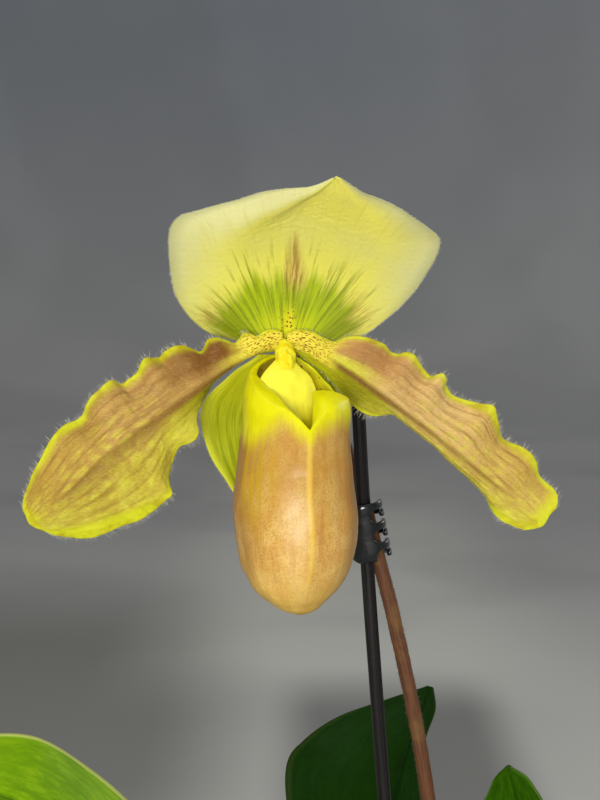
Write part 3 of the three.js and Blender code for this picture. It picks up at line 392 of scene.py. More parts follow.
class Paint:
    """One procedural material; its methods add nodes and give back what they put out.

    place is in millimetres; s, v and side are a point's place on its own surface; back is 1 on
    a sheet's far side; colour is the paint so far, which each coat covers in part.
    """

    def __init__(self, name):
        self.material = bpy.data.materials.new(name)
        self.material.use_nodes = True
        self.tree = self.material.node_tree
        self.shader = self.tree.nodes["Principled BSDF"]
        in_metres = self.node("ShaderNodeTexCoord").outputs["Object"]
        self.place = self.scaled(in_metres, (1 / MM, 1 / MM, 1 / MM))
        where = self.node("ShaderNodeAttribute", attribute_name="where").outputs["Vector"]
        self.s, self.v, self.side = self.split(where)
        self.colour = None
        self.back = self.rise(-1 * self.side, -0.2, 0.2)

    def node(self, kind, **settings):
        made = self.tree.nodes.new(kind)
        for name, value in settings.items():
            setattr(made, name, value)
        return made

    def put(self, socket, value):
        if isinstance(value, Number):
            self.tree.links.new(value.socket, socket)
        elif isinstance(value, bpy.types.NodeSocket):
            self.tree.links.new(value, socket)
        elif socket.type == "RGBA":
            socket.default_value = (*value, 1.0)
        else:
            socket.default_value = value

    def math(self, operation, a, b=0.0):
        made = self.node("ShaderNodeMath", operation=operation)
        self.put(made.inputs[0], a)
        self.put(made.inputs[1], b)
        return Number(self, made.outputs[0])

    def split(self, vector):
        made = self.node("ShaderNodeSeparateXYZ")
        self.put(made.inputs[0], vector)
        return [Number(self, output) for output in made.outputs]

    def vector(self, x, y, z=0.0):
        made = self.node("ShaderNodeCombineXYZ")
        for socket, value in zip(made.inputs, (x, y, z)):
            self.put(socket, value)
        return made.outputs[0]

    def scaled(self, vector, factors):
        made = self.node("ShaderNodeVectorMath", operation="MULTIPLY")
        self.put(made.inputs[0], vector)
        made.inputs[1].default_value = factors
        return made.outputs[0]

    def noise(self, vector, size, detail=3.0, roughness=0.55):
        """Noise about 0..1 whose bumps are `size` units of the vector across."""
        made = self.node("ShaderNodeTexNoise")
        self.put(made.inputs["Vector"], vector)
        made.inputs["Scale"].default_value = 1 / size
        made.inputs["Detail"].default_value = detail
        made.inputs["Roughness"].default_value = roughness
        return Number(self, made.outputs[0])

    def cells(self, vector, size, feature="F1"):
        """Distance to the nearest cell's middle (F1) or edge, and a random number per cell."""
        made = self.node("ShaderNodeTexVoronoi", feature=feature)
        self.put(made.inputs["Vector"], vector)
        made.inputs["Scale"].default_value = 1 / size
        distance = Number(self, made.outputs["Distance"])
        if feature != "F1":
            return distance
        return distance, self.split(made.outputs["Color"])[0]

    def rise(self, value, low, high):
        """0 where value is below low, 1 above high, smooth between."""
        made = self.node("ShaderNodeMapRange", interpolation_type="SMOOTHSTEP")
        self.put(made.inputs["Value"], value)
        self.put(made.inputs["From Min"], low)
        self.put(made.inputs["From Max"], high)
        return Number(self, made.outputs["Result"])

    def fall(self, value, low, high):
        return 1 - self.rise(value, low, high)

    def lines(self, value, width):
        """Soft lines where value is a whole number; width is in the same unit."""
        return self.fall(self.math("PINGPONG", value, 0.5), 0.0, width)

    def over(self, base, amount, colour):
        """base with colour laid over it by amount."""
        made = self.node("ShaderNodeMix", data_type="RGBA")
        self.put(made.inputs["Factor"], amount)
        self.put([s for s in made.inputs if s.name == "A" and s.type == "RGBA"][0], base)
        self.put([s for s in made.inputs if s.name == "B" and s.type == "RGBA"][0], colour)
        return [s for s in made.outputs if s.type == "RGBA"][0]

    def coat(self, amount, colour):
        """Lays one more colour over the paint so far."""
        self.colour = self.over(self.colour, amount, colour)

    def spots(self, vector, size, share, low, high):
        """Round spots in `share` of the cells."""
        distance, pick = self.cells(vector, size)
        return self.fall(distance, low, high) * self.fall(pick, share - 0.01, share + 0.01)

    def finish(self, roughness, height=None, **constants):
        """height is in millimetres; constants go on the shader's own sockets."""
        self.put(self.shader.inputs["Base Color"], self.colour)
        self.put(self.shader.inputs["Roughness"], roughness)
        if height is not None:
            made = self.node("ShaderNodeBump")
            made.inputs["Distance"].default_value = MM
            self.put(made.inputs["Height"], height)
            self.put(self.shader.inputs["Normal"], made.outputs["Normal"])
        for name, value in constants.items():
            self.shader.inputs[name.replace("_", " ")].default_value = value
        return self.material


SOFT_TISSUE = {
    "Subsurface_Weight": 0.3,
    "Subsurface_Radius": (1.0, 0.8, 0.25),
    "Subsurface_Scale": 0.0008,
    "Specular_IOR_Level": 0.15,
}
HAIR_PALE = rgb(238, 234, 214)


def tinted(colour, factor):
    """A linear colour made darker or lighter."""
    return tuple(min(1, factor * part) for part in colour)


def paint_hair(name, colour):
    p = Paint(name)
    p.colour = p.over(colour, p.v * 0.5, tinted(colour, 0.75))
    return p.finish(0.4 + 0.2 * p.v, Specular_IOR_Level=0.4)


# ---- blades: petals, sepals and leaves ---------------------------------------------------
LEVEL = [(0, 0), (1, 0)]
TIP_CROWDING = 1.25


def by_half(spec, name, s, v):
    """A measure at s. A pair of curves serves v above and below 0, a single one both halves."""
    keys = spec.get(name, LEVEL)
    first, second = keys if isinstance(keys, tuple) else (keys, keys)
    return np.where(v >= 0, spline(first, s), spline(second, s))


def blade(spec, s, v):
    """Points of a blade: s from base to tip, v from -1 to 1 across, the midrib at 0."""
    middle = spline(spec["midrib"], s)
    small = 1e-3
    ahead = spline(spec["midrib"], np.minimum(s + small, 1))
    behind = spline(spec["midrib"], np.maximum(s - small, 0))
    along = unit(ahead - behind)
    face = spline(spec["face"], s)
    face = unit(face - (face * along).sum(-1, keepdims=True) * along)
    side = np.cross(along, face) * spec["hand"]
    reach = np.abs(v)
    crease = np.radians(by_half(spec, "crease", s, v))
    curl = np.radians(by_half(spec, "curl", s, v))
    parts = 24
    on_the_way = reach[..., None] * (np.arange(parts) + 0.5) / parts
    turn = crease[..., None] + curl[..., None] * on_the_way
    width = by_half(spec, "width", s, v) * reach
    out = width * np.cos(turn).mean(-1) * np.sign(v)
    return middle + out[..., None] * side - (width * np.sin(turn).mean(-1))[..., None] * face


def sheet_places(steps, across, crowd=1.0):
    """s and v of a sheet's points; crowd above 1 draws its rows together towards the tip."""
    s = 1 - (1 - np.linspace(0, 1, steps + 1)) ** crowd
    return np.meshgrid(s, np.linspace(-1, 1, across + 1), indexing="ij")


def blade_grid(spec, steps, across):
    """s, v, points, unit normals on the face's side and the distance from the midrib."""
    s, v = sheet_places(steps, across, TIP_CROWDING)
    points = blade(spec, s, v)
    normals = grid_normals(points)
    normals *= np.sign((normals * spline(spec["face"], s)).sum(-1).mean())
    return s, v, points, normals, np.abs(v) * by_half(spec, "width", s, v)


SYNSEPAL = {
    "hand": -1,
    "midrib": [
        (0, -0.8, 4.5, -3.5), (0.3, -2.2, 7, -13), (0.6, -3.6, 8, -23), (0.85, -4.4, 6.5, -32),
        (1, -4.8, 5, -37)],
    "face": [(0, 0.2, -1, 0), (1, 0.25, -1, 0.1)],
    "width": (
        [(0, 7.5), (0.15, 14), (0.35, 16.6), (0.55, 14.8), (0.8, 9.6), (0.95, 4.4), (1, 0.5)],
        [(0, 5), (0.15, 10.8), (0.35, 15.6), (0.55, 14.8), (0.8, 9.6), (0.95, 4), (1, 0.5)]),
    "curl": [(0, -20), (1, -20)],
}

STAMINODE = {
    "hand": -1,
    "midrib": [(0, -0.8, -3.5, -4), (0.3, -1.2, -7, -7), (0.65, -1, -9.8, -12.5), (1, 0.8, -11.6, -18)],
    "face": [(0, 0, -1, 0.6), (1, 0, -1, 0.15)],
    "width": [(0, 1.6), (0.1, 3), (0.25, 5.2), (0.45, 6.6), (0.6, 6.6), (0.78, 5.2), (0.92, 3), (1, 0.4)],
    "curl": [(0, 25), (1, 40)],
}

BRACT = {
    "hand": -1,
    "midrib": [(0, 10.4, 26.2, -15.5), (0.3, 11, 27.4, -10), (0.65, 10.4, 27.2, -3), (1, 8.6, 25.6, 4)],
    "face": [(0, -0.2, -1, 0.2), (1, -0.2, -1, -0.3)],
    "width": [(0, 4), (0.2, 6.4), (0.45, 7.4), (0.7, 5.6), (0.9, 2.6), (1, 0.3)],
    "crease": [(0, -25), (1, -10)],
    "curl": [(0, -105), (0.5, -80), (1, -30)],
}


# ---- blades between rails: petals and dorsal sepal ------------------------------------------
FINE = np.linspace(0, 1, 601)
TOWARDS_VIEWER = np.array([0.0, -1.0, 0.1])


def rail(keys):
    """A curve as closely spaced points."""
    return spline(keys, FINE)


def smoothed(points):
    """The curve without its frill."""
    span = 61
    window = np.hanning(span + 2)[1:-1]
    window /= window.sum()
    padded = np.pad(points, ((span // 2, span // 2), (0, 0)), mode="edge")
    return np.stack([np.convolve(padded[:, k], window, "valid") for k in range(3)], 1)


def petal_rails(spec):
    """The frilled margins, the fold or belly of the lower half, the midrib and the upper belly."""
    midrib = rail(spec["midrib"])
    upper = rail(spec["upper"])
    belly = (midrib + smoothed(upper)) / 2 + 0.35 * TOWARDS_VIEWER
    return [(-1, rail(spec["lower"])), (-0.5, rail(spec["inner"])), (0, midrib), (0.5, belly), (1, upper)]


def on_rails(rails, s, v):
    """Points of a sheet through rails [(v, curve), ...]: s goes along them and v across."""
    shape = s.shape
    s = np.clip(s.ravel(), 0, 1) * (len(FINE) - 1)
    v = v.ravel()
    low = np.minimum(s.astype(int), len(FINE) - 2)
    part = (s - low)[:, None]
    value = np.stack([curve[low] * (1 - part) + curve[low + 1] * part for _, curve in rails], 1)
    at = np.array([place for place, _ in rails])
    slope = np.gradient(value, at, axis=1)
    i = np.clip(np.searchsorted(at, v, side="right") - 1, 0, len(at) - 2)
    n = np.arange(len(v))
    h = (at[i + 1] - at[i])[:, None]
    u = (v - at[i])[:, None] / h
    points = between(u, value[n, i], value[n, i + 1], h * slope[n, i], h * slope[n, i + 1])
    return points.reshape(*shape, 3)


def rails_grid(rails, steps, across):
    """s, v, points, normals towards the viewer and the distance from the midrib."""
    s, v = sheet_places(steps, across)
    points = on_rails(rails, s, v)
    normals = grid_normals(points)
    normals *= np.sign((normals @ TOWARDS_VIEWER).mean())
    run = np.cumsum(np.linalg.norm(np.diff(points, axis=1, prepend=points[:, :1]), axis=2), axis=1)
    return s, v, points, normals, np.abs(run - run[:, across // 2, None])


PETAL_LEFT = {
    "midrib": [
        (0, -0.2, -0.2, -0.5), (0.05, -3, -1.5, -1.2), (0.17, -9, -4, -4), (0.34, -17.5, -9, -9.4),
        (0.52, -26.5, -14, -15.8), (0.7, -35.5, -18.5, -22.6), (0.86, -43.5, -20, -29.8),
        (1, -50.3, -18.3, -35)],
    "upper": [
        (0, -0.2, 0.3, 1.4), (0.012, -0.8, 0.2, 1.8), (0.03, -2.5, -0.2, 2.1), (0.05, -4.1, -0.8, 1.8),
        (0.072, -5.7, -1.4, 0.9), (0.09, -7.1, -2.4, 1.6), (0.109, -8.3, -2.7, 1.6),
        (0.129, -9, -2.4, 0.6), (0.16, -10.4, -1.8, -0.7), (0.18, -12.2, -3.3, 0.2),
        (0.203, -14.2, -4.7, 0.8), (0.225, -15.6, -4.5, 0.3), (0.245, -16.2, -4.1, -1.1),
        (0.269, -17.5, -4.1, -2.2), (0.282, -19, -5.5, -1.2), (0.295, -20.2, -6.4, -0.6),
        (0.319, -22.1, -7.8, -0.7), (0.35, -23.9, -7.3, -1.7), (0.377, -25.2, -6.4, -3.1),
        (0.41, -27.7, -9.7, -2.9), (0.436, -28.8, -9.7, -4.3), (0.455, -29.3, -9.2, -5.6),
        (0.49, -31.3, -9.7, -7.2), (0.515, -32.8, -10, -8.1), (0.533, -34.2, -11.9, -7.1),
        (0.552, -35.3, -13.5, -7.6), (0.581, -36.6, -14.3, -8.9), (0.616, -38.3, -14.7, -10.5),
        (0.638, -39.2, -14.3, -12.1), (0.659, -39.9, -13.6, -13.8), (0.681, -41, -14.3, -14.9),
        (0.709, -43, -15.8, -15.5), (0.734, -44.4, -17.2, -16.6), (0.77, -45.9, -18.3, -18.6),
        (0.84, -48, -18.8, -22.7), (0.905, -49.8, -18, -26.2), (0.96, -51.3, -17.2, -29.9),
        (1, -51.7, -17.3, -32.4)],
    "lower": [
        (0, -0.2, 0.8, -2), (0.1, -6.6, 1, -3), (0.2, -11.2, 0, -5.6), (0.28, -14.4, -2.6, -8.6),
        (0.33, -16.2, -5.8, -11.2), (0.362, -16.9, -8, -12.8), (0.385, -17.5, -9, -14.3),
        (0.401, -17.5, -10.5, -15.8), (0.415, -17, -11.4, -17.3), (0.435, -17.4, -11.6, -18.9),
        (0.457, -18.8, -11.5, -19.9), (0.481, -20.4, -11, -20.3), (0.523, -22.1, -10.4, -22.9),
        (0.555, -22.9, -11.1, -25.7), (0.58, -23, -12.7, -28), (0.6, -22.3, -13.5, -29.9),
        (0.625, -23.5, -13.6, -31.1), (0.677, -26, -13.7, -33.2), (0.744, -29, -15.7, -35),
        (0.788, -32.2, -15.3, -36.1), (0.829, -35.2, -17.1, -37.2), (0.858, -37.8, -16.9, -38),
        (0.898, -41.6, -16.7, -38.2), (0.94, -44.7, -17.3, -37.7), (1, -47.6, -18, -36.5)],
    "inner": [
        (0, -0.2, 0.2, -1.5), (0.1, -6.6, -1.4, -2.8), (0.2, -11.6, -3.6, -5.4), (0.3, -15.6, -6, -9),
        (0.37, -17.6, -8.6, -12.6), (0.43, -20.3, -10.6, -16), (0.5, -23.3, -12.3, -19),
        (0.6, -26.6, -14.8, -25), (0.7, -31.4, -16.4, -29), (0.8, -37.2, -17.8, -32.2),
        (0.9, -44, -18.4, -35), (1, -49.2, -18.2, -35.8)],
}

PETAL_RIGHT = {
    "midrib": [
        (0, 0.4, 0, -0.6), (0.05, 4.4, 0.3, -1.6), (0.17, 10.4, 1, -4.6), (0.34, 19.5, 2.6, -11),
        (0.52, 29, 4.6, -18.3), (0.7, 38, 5.2, -25.6), (0.86, 46.2, 5.2, -32.4), (1, 54.6, 4.2, -39.3)],
    "upper": [
        (0, 0.2, 0.5, 1.3), (0.02, 2.1, 0.5, 2), (0.045, 3.9, 0.6, 2), (0.065, 5.6, 0.9, 1.8),
        (0.09, 7.6, 1.6, 0.7), (0.119, 9.5, 2.3, -0.4), (0.144, 11, 2.8, -0.6), (0.165, 12.8, 1.6, 0.5),
        (0.189, 15.1, 1.3, 0.7), (0.222, 17.6, 1.8, 0.3), (0.247, 19.4, 2.7, -0.4),
        (0.271, 21, 4.1, -1.3), (0.293, 22, 5.1, -2.7), (0.315, 23.4, 5.6, -3.3), (0.341, 25.6, 4, -2.8),
        (0.365, 27.1, 3.8, -3.4), (0.388, 28.1, 4.8, -4.9), (0.416, 29.3, 6.4, -6.8),
        (0.438, 30.8, 7.1, -8.1), (0.453, 31.7, 4.8, -7.5), (0.468, 33.1, 3.8, -7.2),
        (0.483, 33.8, 4.4, -8.3), (0.5, 33.9, 6.6, -9.7), (0.528, 35.2, 8, -11.8),
        (0.567, 37.5, 8.7, -13.2), (0.603, 40, 8.2, -13.7), (0.632, 42, 6.8, -14),
        (0.66, 44, 6.2, -14.3), (0.682, 44.5, 6.6, -15.9), (0.713, 45.3, 7.7, -18.5),
        (0.742, 46.1, 8.9, -21), (0.775, 47.7, 8.4, -22.2), (0.816, 50, 6.3, -23),
        (0.855, 52.1, 5.7, -24.6), (0.882, 53, 6.2, -26.4), (0.91, 53.7, 7.3, -29.1),
        (0.936, 55.4, 7.5, -30.7), (0.964, 56.8, 5.6, -31.9), (0.985, 57.5, 4.3, -33.6),
        (1, 57.1, 4.1, -35.8)],
    "lower": [
        (0, 1.2, 0.8, -2.2), (0.05, 4.4, 1.6, -4), (0.1, 6.8, 2.4, -5.8), (0.16, 9.1, 3, -8),
        (0.2, 10.6, 3.4, -9.6), (0.26, 12.7, 3.8, -12), (0.301, 14.4, 3.8, -14),
        (0.341, 16.6, 2.7, -15.5), (0.373, 18.7, 2.9, -16.1), (0.405, 21.2, 4.2, -16),
        (0.44, 23.5, 7, -15.6), (0.5, 26.2, 9.6, -17.6), (0.6, 31, 11, -22), (0.7, 35.6, 11.4, -26.4),
        (0.8, 39.8, 10.4, -30.6), (0.86, 42.4, 8.6, -33.6), (0.9, 44.2, 6.6, -37),
        (0.94, 45.9, 5.6, -38.7), (0.97, 48, 5, -39.6), (1, 50.6, 4.6, -40.5)],
    "inner": [
        (0, 0.8, 0.4, -1.4), (0.05, 4.3, 0.9, -2.8), (0.1, 6.4, 1.4, -4.2), (0.2, 11, 2.4, -7.9),
        (0.3, 16, 3.2, -11.6), (0.36, 19.4, 3.8, -13.8), (0.42, 22.8, 4.9, -15.6),
        (0.5, 26.6, 5.6, -18.6), (0.585, 30.8, 6.2, -22), (0.685, 35.1, 6.4, -25.9),
        (0.785, 39.6, 6.4, -29.9), (0.86, 43, 6.2, -33.4), (0.92, 46.8, 5.4, -36.6),
        (1, 52.8, 4.4, -40.1)],
}

DORSAL_CURVES = {
    -1: [
        (0, -10.2, 4, -0.5), (0.08, -13.5, 3.6, 0.4), (0.16, -16.4, 3, 1.9), (0.25, -19.6, 2.4, 4.8),
        (0.34, -22.3, 1.8, 9), (0.42, -23.2, 1.2, 12.9), (0.5, -23.6, 1, 17.4), (0.57, -23.6, 1.2, 21.5),
        (0.63, -22.8, 1.6, 23.9), (0.68, -21.3, 1.6, 25.4), (0.75, -18.1, 1, 26.4),
        (0.8, -14.1, 0.2, 27.5), (0.86, -9.1, -1, 28.8), (0.9, -4.6, -2.6, 30.2),
        (0.94, 0.3, -4.6, 30.9), (0.975, 6.3, -7, 31.4), (1, 9.9, -9, 32.8)],
    -0.6: [
        (0, -4.6, 3.6, -0.3), (0.25, -10.4, 2.6, 5.6), (0.5, -13.1, 1.6, 16.4), (0.68, -10.6, 0.4, 21.8),
        (0.8, -5.6, -1.6, 25), (0.9, 1.3, -4.6, 28.3), (0.96, 6.3, -7.4, 30.4), (1, 10.3, -9.3, 32.9)],
    0: [
        (0, 0.4, 3, 0.2), (0.25, 1.4, 4.4, 10.1), (0.5, 2.7, 3.6, 19.2), (0.7, 3.9, 0.6, 25.4),
        (0.86, 6.9, -4.2, 29.4), (0.95, 9.3, -7.6, 31.8), (1, 10.6, -9.4, 33.2)],
    0.5: [
        (0, 6.4, 3.6, 0), (0.25, 12.8, 4, 7), (0.5, 17.3, 2.4, 15.5), (0.7, 18.8, -0.4, 21.7),
        (0.85, 16.2, -4, 26.4), (0.95, 12.9, -7.4, 30.4), (1, 10.8, -9.4, 33.1)],
    1: [
        (0, 12.7, 4, -0.5), (0.08, 15.8, 3.6, 0.5), (0.16, 18, 3, 1.7), (0.25, 21.3, 2.4, 4.4),
        (0.36, 24.5, 1.6, 7.3), (0.46, 27.3, 0.8, 10.6), (0.55, 29.3, 0.2, 13.8),
        (0.63, 31.3, -0.2, 17.4), (0.69, 31.9, -0.4, 20.3), (0.73, 31.2, -0.8, 21.5),
        (0.78, 29.1, -1.6, 23.2), (0.83, 26.2, -2.6, 25.2), (0.87, 22.9, -3.8, 27.3),
        (0.91, 19.6, -5.2, 28.7), (0.94, 16.3, -6.8, 29.8), (0.97, 14.1, -8, 31.2), (1, 11.4, -9.3, 33)],
}
DORSAL_RAILS = [(place, rail(keys)) for place, keys in DORSAL_CURVES.items()]


# ---- petals ------------------------------------------------------------------------------
PETAL_VEINS = 5.5
PETAL_LENGTH = 65
PETAL_WIDTH = 12
PETAL_GRID = (230, 84)
PETAL_FRINGE = {"count": 300, "longest": 1.9, "shortest": 0.7, "thick": 0.026}


def petal_shape(rails, seed):
    """A petal with a grooved midrib, sunken veins, a wrinkled surface and a thin edge."""
    s, v, points, normals, distance = rails_grid(rails, *PETAL_GRID)
    reach = np.abs(v)
    points = pushed(points, normals, 0.2 * ripple(points, 6, seed) * reach * step(s, 0, 0.2))
    veins = hump((reach * PETAL_VEINS + 0.5) % 1 - 0.5, 0.16) * step(reach, 0.08, 0.2)
    veins *= step(1 - reach, 0.08, 0.2)
    wrinkles = 0.06 * ripple(points * [1, 1, 1.4], 1.6, seed + 1) + 0.03 * ripple(points, 0.7, seed + 2)
    wrinkles *= step(reach, 0.04, 0.4)
    groove = hump(distance, 0.5) * step(1 - s, 0.02, 0.25)
    keel = hump(distance, 0.8) * step(1 - s, 0.02, 0.2)
    half = 0.14 + 0.34 * (1 - reach**3) * step(1 - s, 0, 0.1)
    front = half - 0.3 * groove - 0.03 * veins + wrinkles
    back = half + 0.45 * keel + 0.1 * veins - wrinkles
    return thick_sheet(points + FLOWER_CENTRE, normals, s, v, front, back)


def margin_hairs(surface, seed, count, longest, shortest, thick):
    """Fine hairs that stand out from both margins of a sheet; surface gives its points."""
    rng = np.random.default_rng(seed)
    shape = Shape()
    for half in (1.0, -1.0):
        s = rng.uniform(0.02, 1.0, count)
        edge = surface(s, np.full(count, half))
        inside = surface(s, np.full(count, 0.96 * half))
        ahead = surface(np.minimum(s + 0.004, 1), np.full(count, half))
        behind = surface(np.maximum(s - 0.004, 0), np.full(count, half))
        out = unit(edge - inside)
        along = unit(ahead - behind)
        normal = unit(np.cross(out, along))
        lean = rng.normal(0, 0.22, (count, 1)) * along + rng.normal(0, 0.3, (count, 1)) * normal
        lengths = rng.uniform(shortest, longest, count) * (0.5 + 0.5 * step(s, 0, 0.25))
        hairs(shape, edge + FLOWER_CENTRE - 0.1 * out, out + lean, lengths, thick, 0.0, rng)
    return shape


def paint_petal(name, band_end, fold_end, spots_end, tan, brown):
    """band_end, fold_end, spots_end: where the pale band, the green fold and the spots stop."""
    p = Paint(name)
    s, v, reach = p.s, p.v, abs(p.v)
    flow = p.vector(s * PETAL_LENGTH, v * PETAL_WIDTH, p.side * 3)
    fibres = p.noise(p.scaled(flow, (0.1, 1, 1)), 0.42, 4, 0.65)
    streaks = p.noise(p.scaled(flow, (0.14, 1, 1)), 1.3, 4, 0.6)
    patches = p.noise(p.scaled(flow, (0.32, 1, 1)), 2.4, 2)
    speckle = p.noise(p.place, 0.4, 3, 0.7)
    along, over = s * PETAL_LENGTH, v * PETAL_WIDTH
    nap = p.noise(p.vector((along + over) * 0.3, along - over, p.side), 0.36, 2, 0.6)
    blotch = p.noise(p.place, 5, 2)
    broad = p.noise(p.place, 9, 1)
    upper = p.rise(v, -0.12, 0.1)
    lower = 1 - upper
    outer = p.rise(s, 0.3, 0.62)
    bricks = p.rise(p.cells(p.scaled(flow, (0.45, 1, 1)), 1.9, "DISTANCE_TO_EDGE"), 0.06, 0.26)
    veins = p.lines(reach * PETAL_VEINS + (streaks - 0.5) * 0.8, 0.34) * p.rise(patches + fibres, 0.7, 1.2)

    pale = p.over(rgb(208, 196, 60), p.rise(blotch, 0.4, 0.6), rgb(224, 218, 74))
    pale = p.over(pale, p.rise(streaks, 0.48, 0.64) * 0.35, rgb(188, 172, 48))
    pale = p.over(pale, (1 - bricks) * outer * 0.3, rgb(176, 140, 62))
    fold = lower * p.fall(s + (streaks - 0.5) * 0.2, fold_end - 0.16, fold_end + 0.08)
    green = p.over(rgb(206, 206, 4), p.rise(fibres, 0.45, 0.6) * 0.6, rgb(150, 152, 0))
    green = p.over(green, p.rise(s, 0.1, 0.26) * p.fall(s, 0.4, 0.54) * 0.75, rgb(134, 130, 0))
    p.colour = p.over(pale, fold, green)

    band = p.fall(s, band_end - 0.16, band_end) * p.fall(v + (streaks - 0.5) * 0.3, 0.2, 0.45)
    islands = bricks * outer * p.fall(v + (patches - 0.5) * 0.8, 0.25, 0.75)
    near_rib = p.fall(reach + (streaks - 0.5) * 0.4, 0.05, 0.5) * p.rise(s, fold_end - 0.1, fold_end + 0.1)
    flush = upper * p.rise(s + (streaks - 0.5) * 0.1, 0.1, 0.19)
    flush = p.math("MAXIMUM", flush * (1 - band), lower * near_rib * 0.7)
    flush = flush * (1 - islands * 0.5)
    skin = p.over(tan, p.rise(streaks, 0.46, 0.62) * 0.34, brown)
    skin = p.over(skin, p.rise(blotch, 0.5, 0.66) * 0.4, tinted(tan, 1.2))
    skin = p.over(skin, p.fall(s + (broad - 0.5) * 0.3, 0.24, 0.5) * p.rise(v, 0.0, 0.4), brown)
    # Painted shade: brown patches near the upper margin stand for the shade in the frill's dips.
    skin = p.over(skin, p.rise(broad, 0.5, 0.62) * p.rise(v, 0.45, 0.8) * 0.5, brown)
    skin = p.over(skin, p.rise(s, 0.5, 0.85) * 0.65, rgb(186, 156, 44))
    p.coat(flush, skin)

    p.coat(veins * (0.16 + 0.32 * outer + 0.1 * flush) * p.fall(s, 0.8, 0.95), rgb(140, 92, 34))
    rib = p.fall(abs(v + 0.04) + (fibres - 0.5) * 0.06, 0.0, 0.15)
    rib = rib * p.rise(s, 0.08, 0.2) * p.fall(s, 0.8, 0.93)
    p.coat(rib * (0.5 + 0.4 * p.fall(s, 0.3, 0.8)), rgb(120, 74, 28))
    p.coat(p.rise(fibres, 0.5, 0.64) * (0.1 + 0.16 * flush), rgb(146, 104, 46))
    p.coat(p.rise(speckle, 0.52, 0.72) * 0.22 * flush, rgb(124, 84, 36))
    p.coat(p.rise(nap, 0.53, 0.68) * 0.14, rgb(236, 214, 136))
    p.coat(p.fall(nap, 0.34, 0.47) * 0.2, rgb(122, 84, 30))

    near_base = p.fall(s + (blotch - 0.5) * 0.1, spots_end - 0.08, spots_end) * p.rise(v, -0.45, -0.2)
    p.coat(near_base * 0.8, rgb(246, 228, 74))
    crowding = p.fall(s, 0.2 * spots_end, spots_end)
    spots = p.spots(p.scaled(flow, (0.8, 0.9, 1)), 0.58, 0.85, 0.32, 0.48) * (0.4 + 0.6 * crowding)
    p.coat(spots * near_base, rgb(126, 30, 12))

    out = reach + (patches - 0.5) * 0.12 + (broad - 0.5) * 0.22 - lower * 0.06
    edge = p.rise(out + lower * p.rise(s, 0.55, 0.8) * 0.26, 0.78, 0.97)
    edge = p.math("MAXIMUM", edge, p.rise(s + (patches - 0.5) * 0.03, 0.94, 0.985))
    rim = p.over(rgb(214, 218, 28), p.rise(blotch, 0.45, 0.6), rgb(194, 186, 16))
    p.coat(edge * 0.85, rim)
    p.coat(p.back * 0.45, rgb(196, 190, 62))
    height = veins * -0.02 + fibres * 0.12 + speckle * 0.12 + streaks * 0.04 + nap * 0.05
    return p.finish(0.38 + 0.22 * speckle, height, Sheen_Weight=0.03, **SOFT_TISSUE)


def make_petals():
    hair = paint_hair("petal_hair", HAIR_PALE)
    for name, spec, seed, ends in (
        ("petal_left", PETAL_LEFT, 11, (0.3, 0.46, 0.2, rgb(196, 157, 86), rgb(124, 78, 28))),
        ("petal_right", PETAL_RIGHT, 23, (0.38, 0.42, 0.2, rgb(228, 193, 122), rgb(190, 140, 82))),
    ):
        rails = petal_rails(spec)
        make_piece(name, petal_shape(rails, seed), paint_petal(name, *ends), replaces=(name,))
        fringe = margin_hairs(lambda s, v: on_rails(rails, s, v), seed + 5, **PETAL_FRINGE)
        make_piece(name + "_hairs", fringe, hair)


# ---- dorsal sepal and synsepal -------------------------------------------------------------
FAN_CENTRE = np.array([0.2, -6.5])
DORSAL_GRID = (170, 120)
DORSAL_DOWN = {"count": 520, "longest": 0.6, "shortest": 0.25, "thick": 0.024}
SYNSEPAL_GRID = (110, 80)
SYNSEPAL_DOWN = {"count": 260, "longest": 0.8, "shortest": 0.3, "thick": 0.024}


def dorsal_shape():
    s, v, points, normals, distance = rails_grid(DORSAL_RAILS, *DORSAL_GRID)
    reach = np.abs(v)
    points = pushed(points, normals, 0.22 * ripple(points, 11, 31) * reach)
    pebbled = hump(s - 0.7, 0.14) * step(1 - reach, 0.3, 0.8)
    pebbles = 0.07 * ripple(points, 1.3, 32) * pebbled + 0.03 * ripple(points, 0.8, 33)
    rib = hump(distance, 0.9) * step(1 - s, 0.1, 0.5)
    half = 0.16 + 0.34 * (1 - reach**3) * step(1 - s, 0, 0.1)
    front = half + pebbles - 0.15 * rib
    back = half - pebbles * 0.5 + 0.5 * rib
    return thick_sheet(points + FLOWER_CENTRE, normals, s, v, front, back)


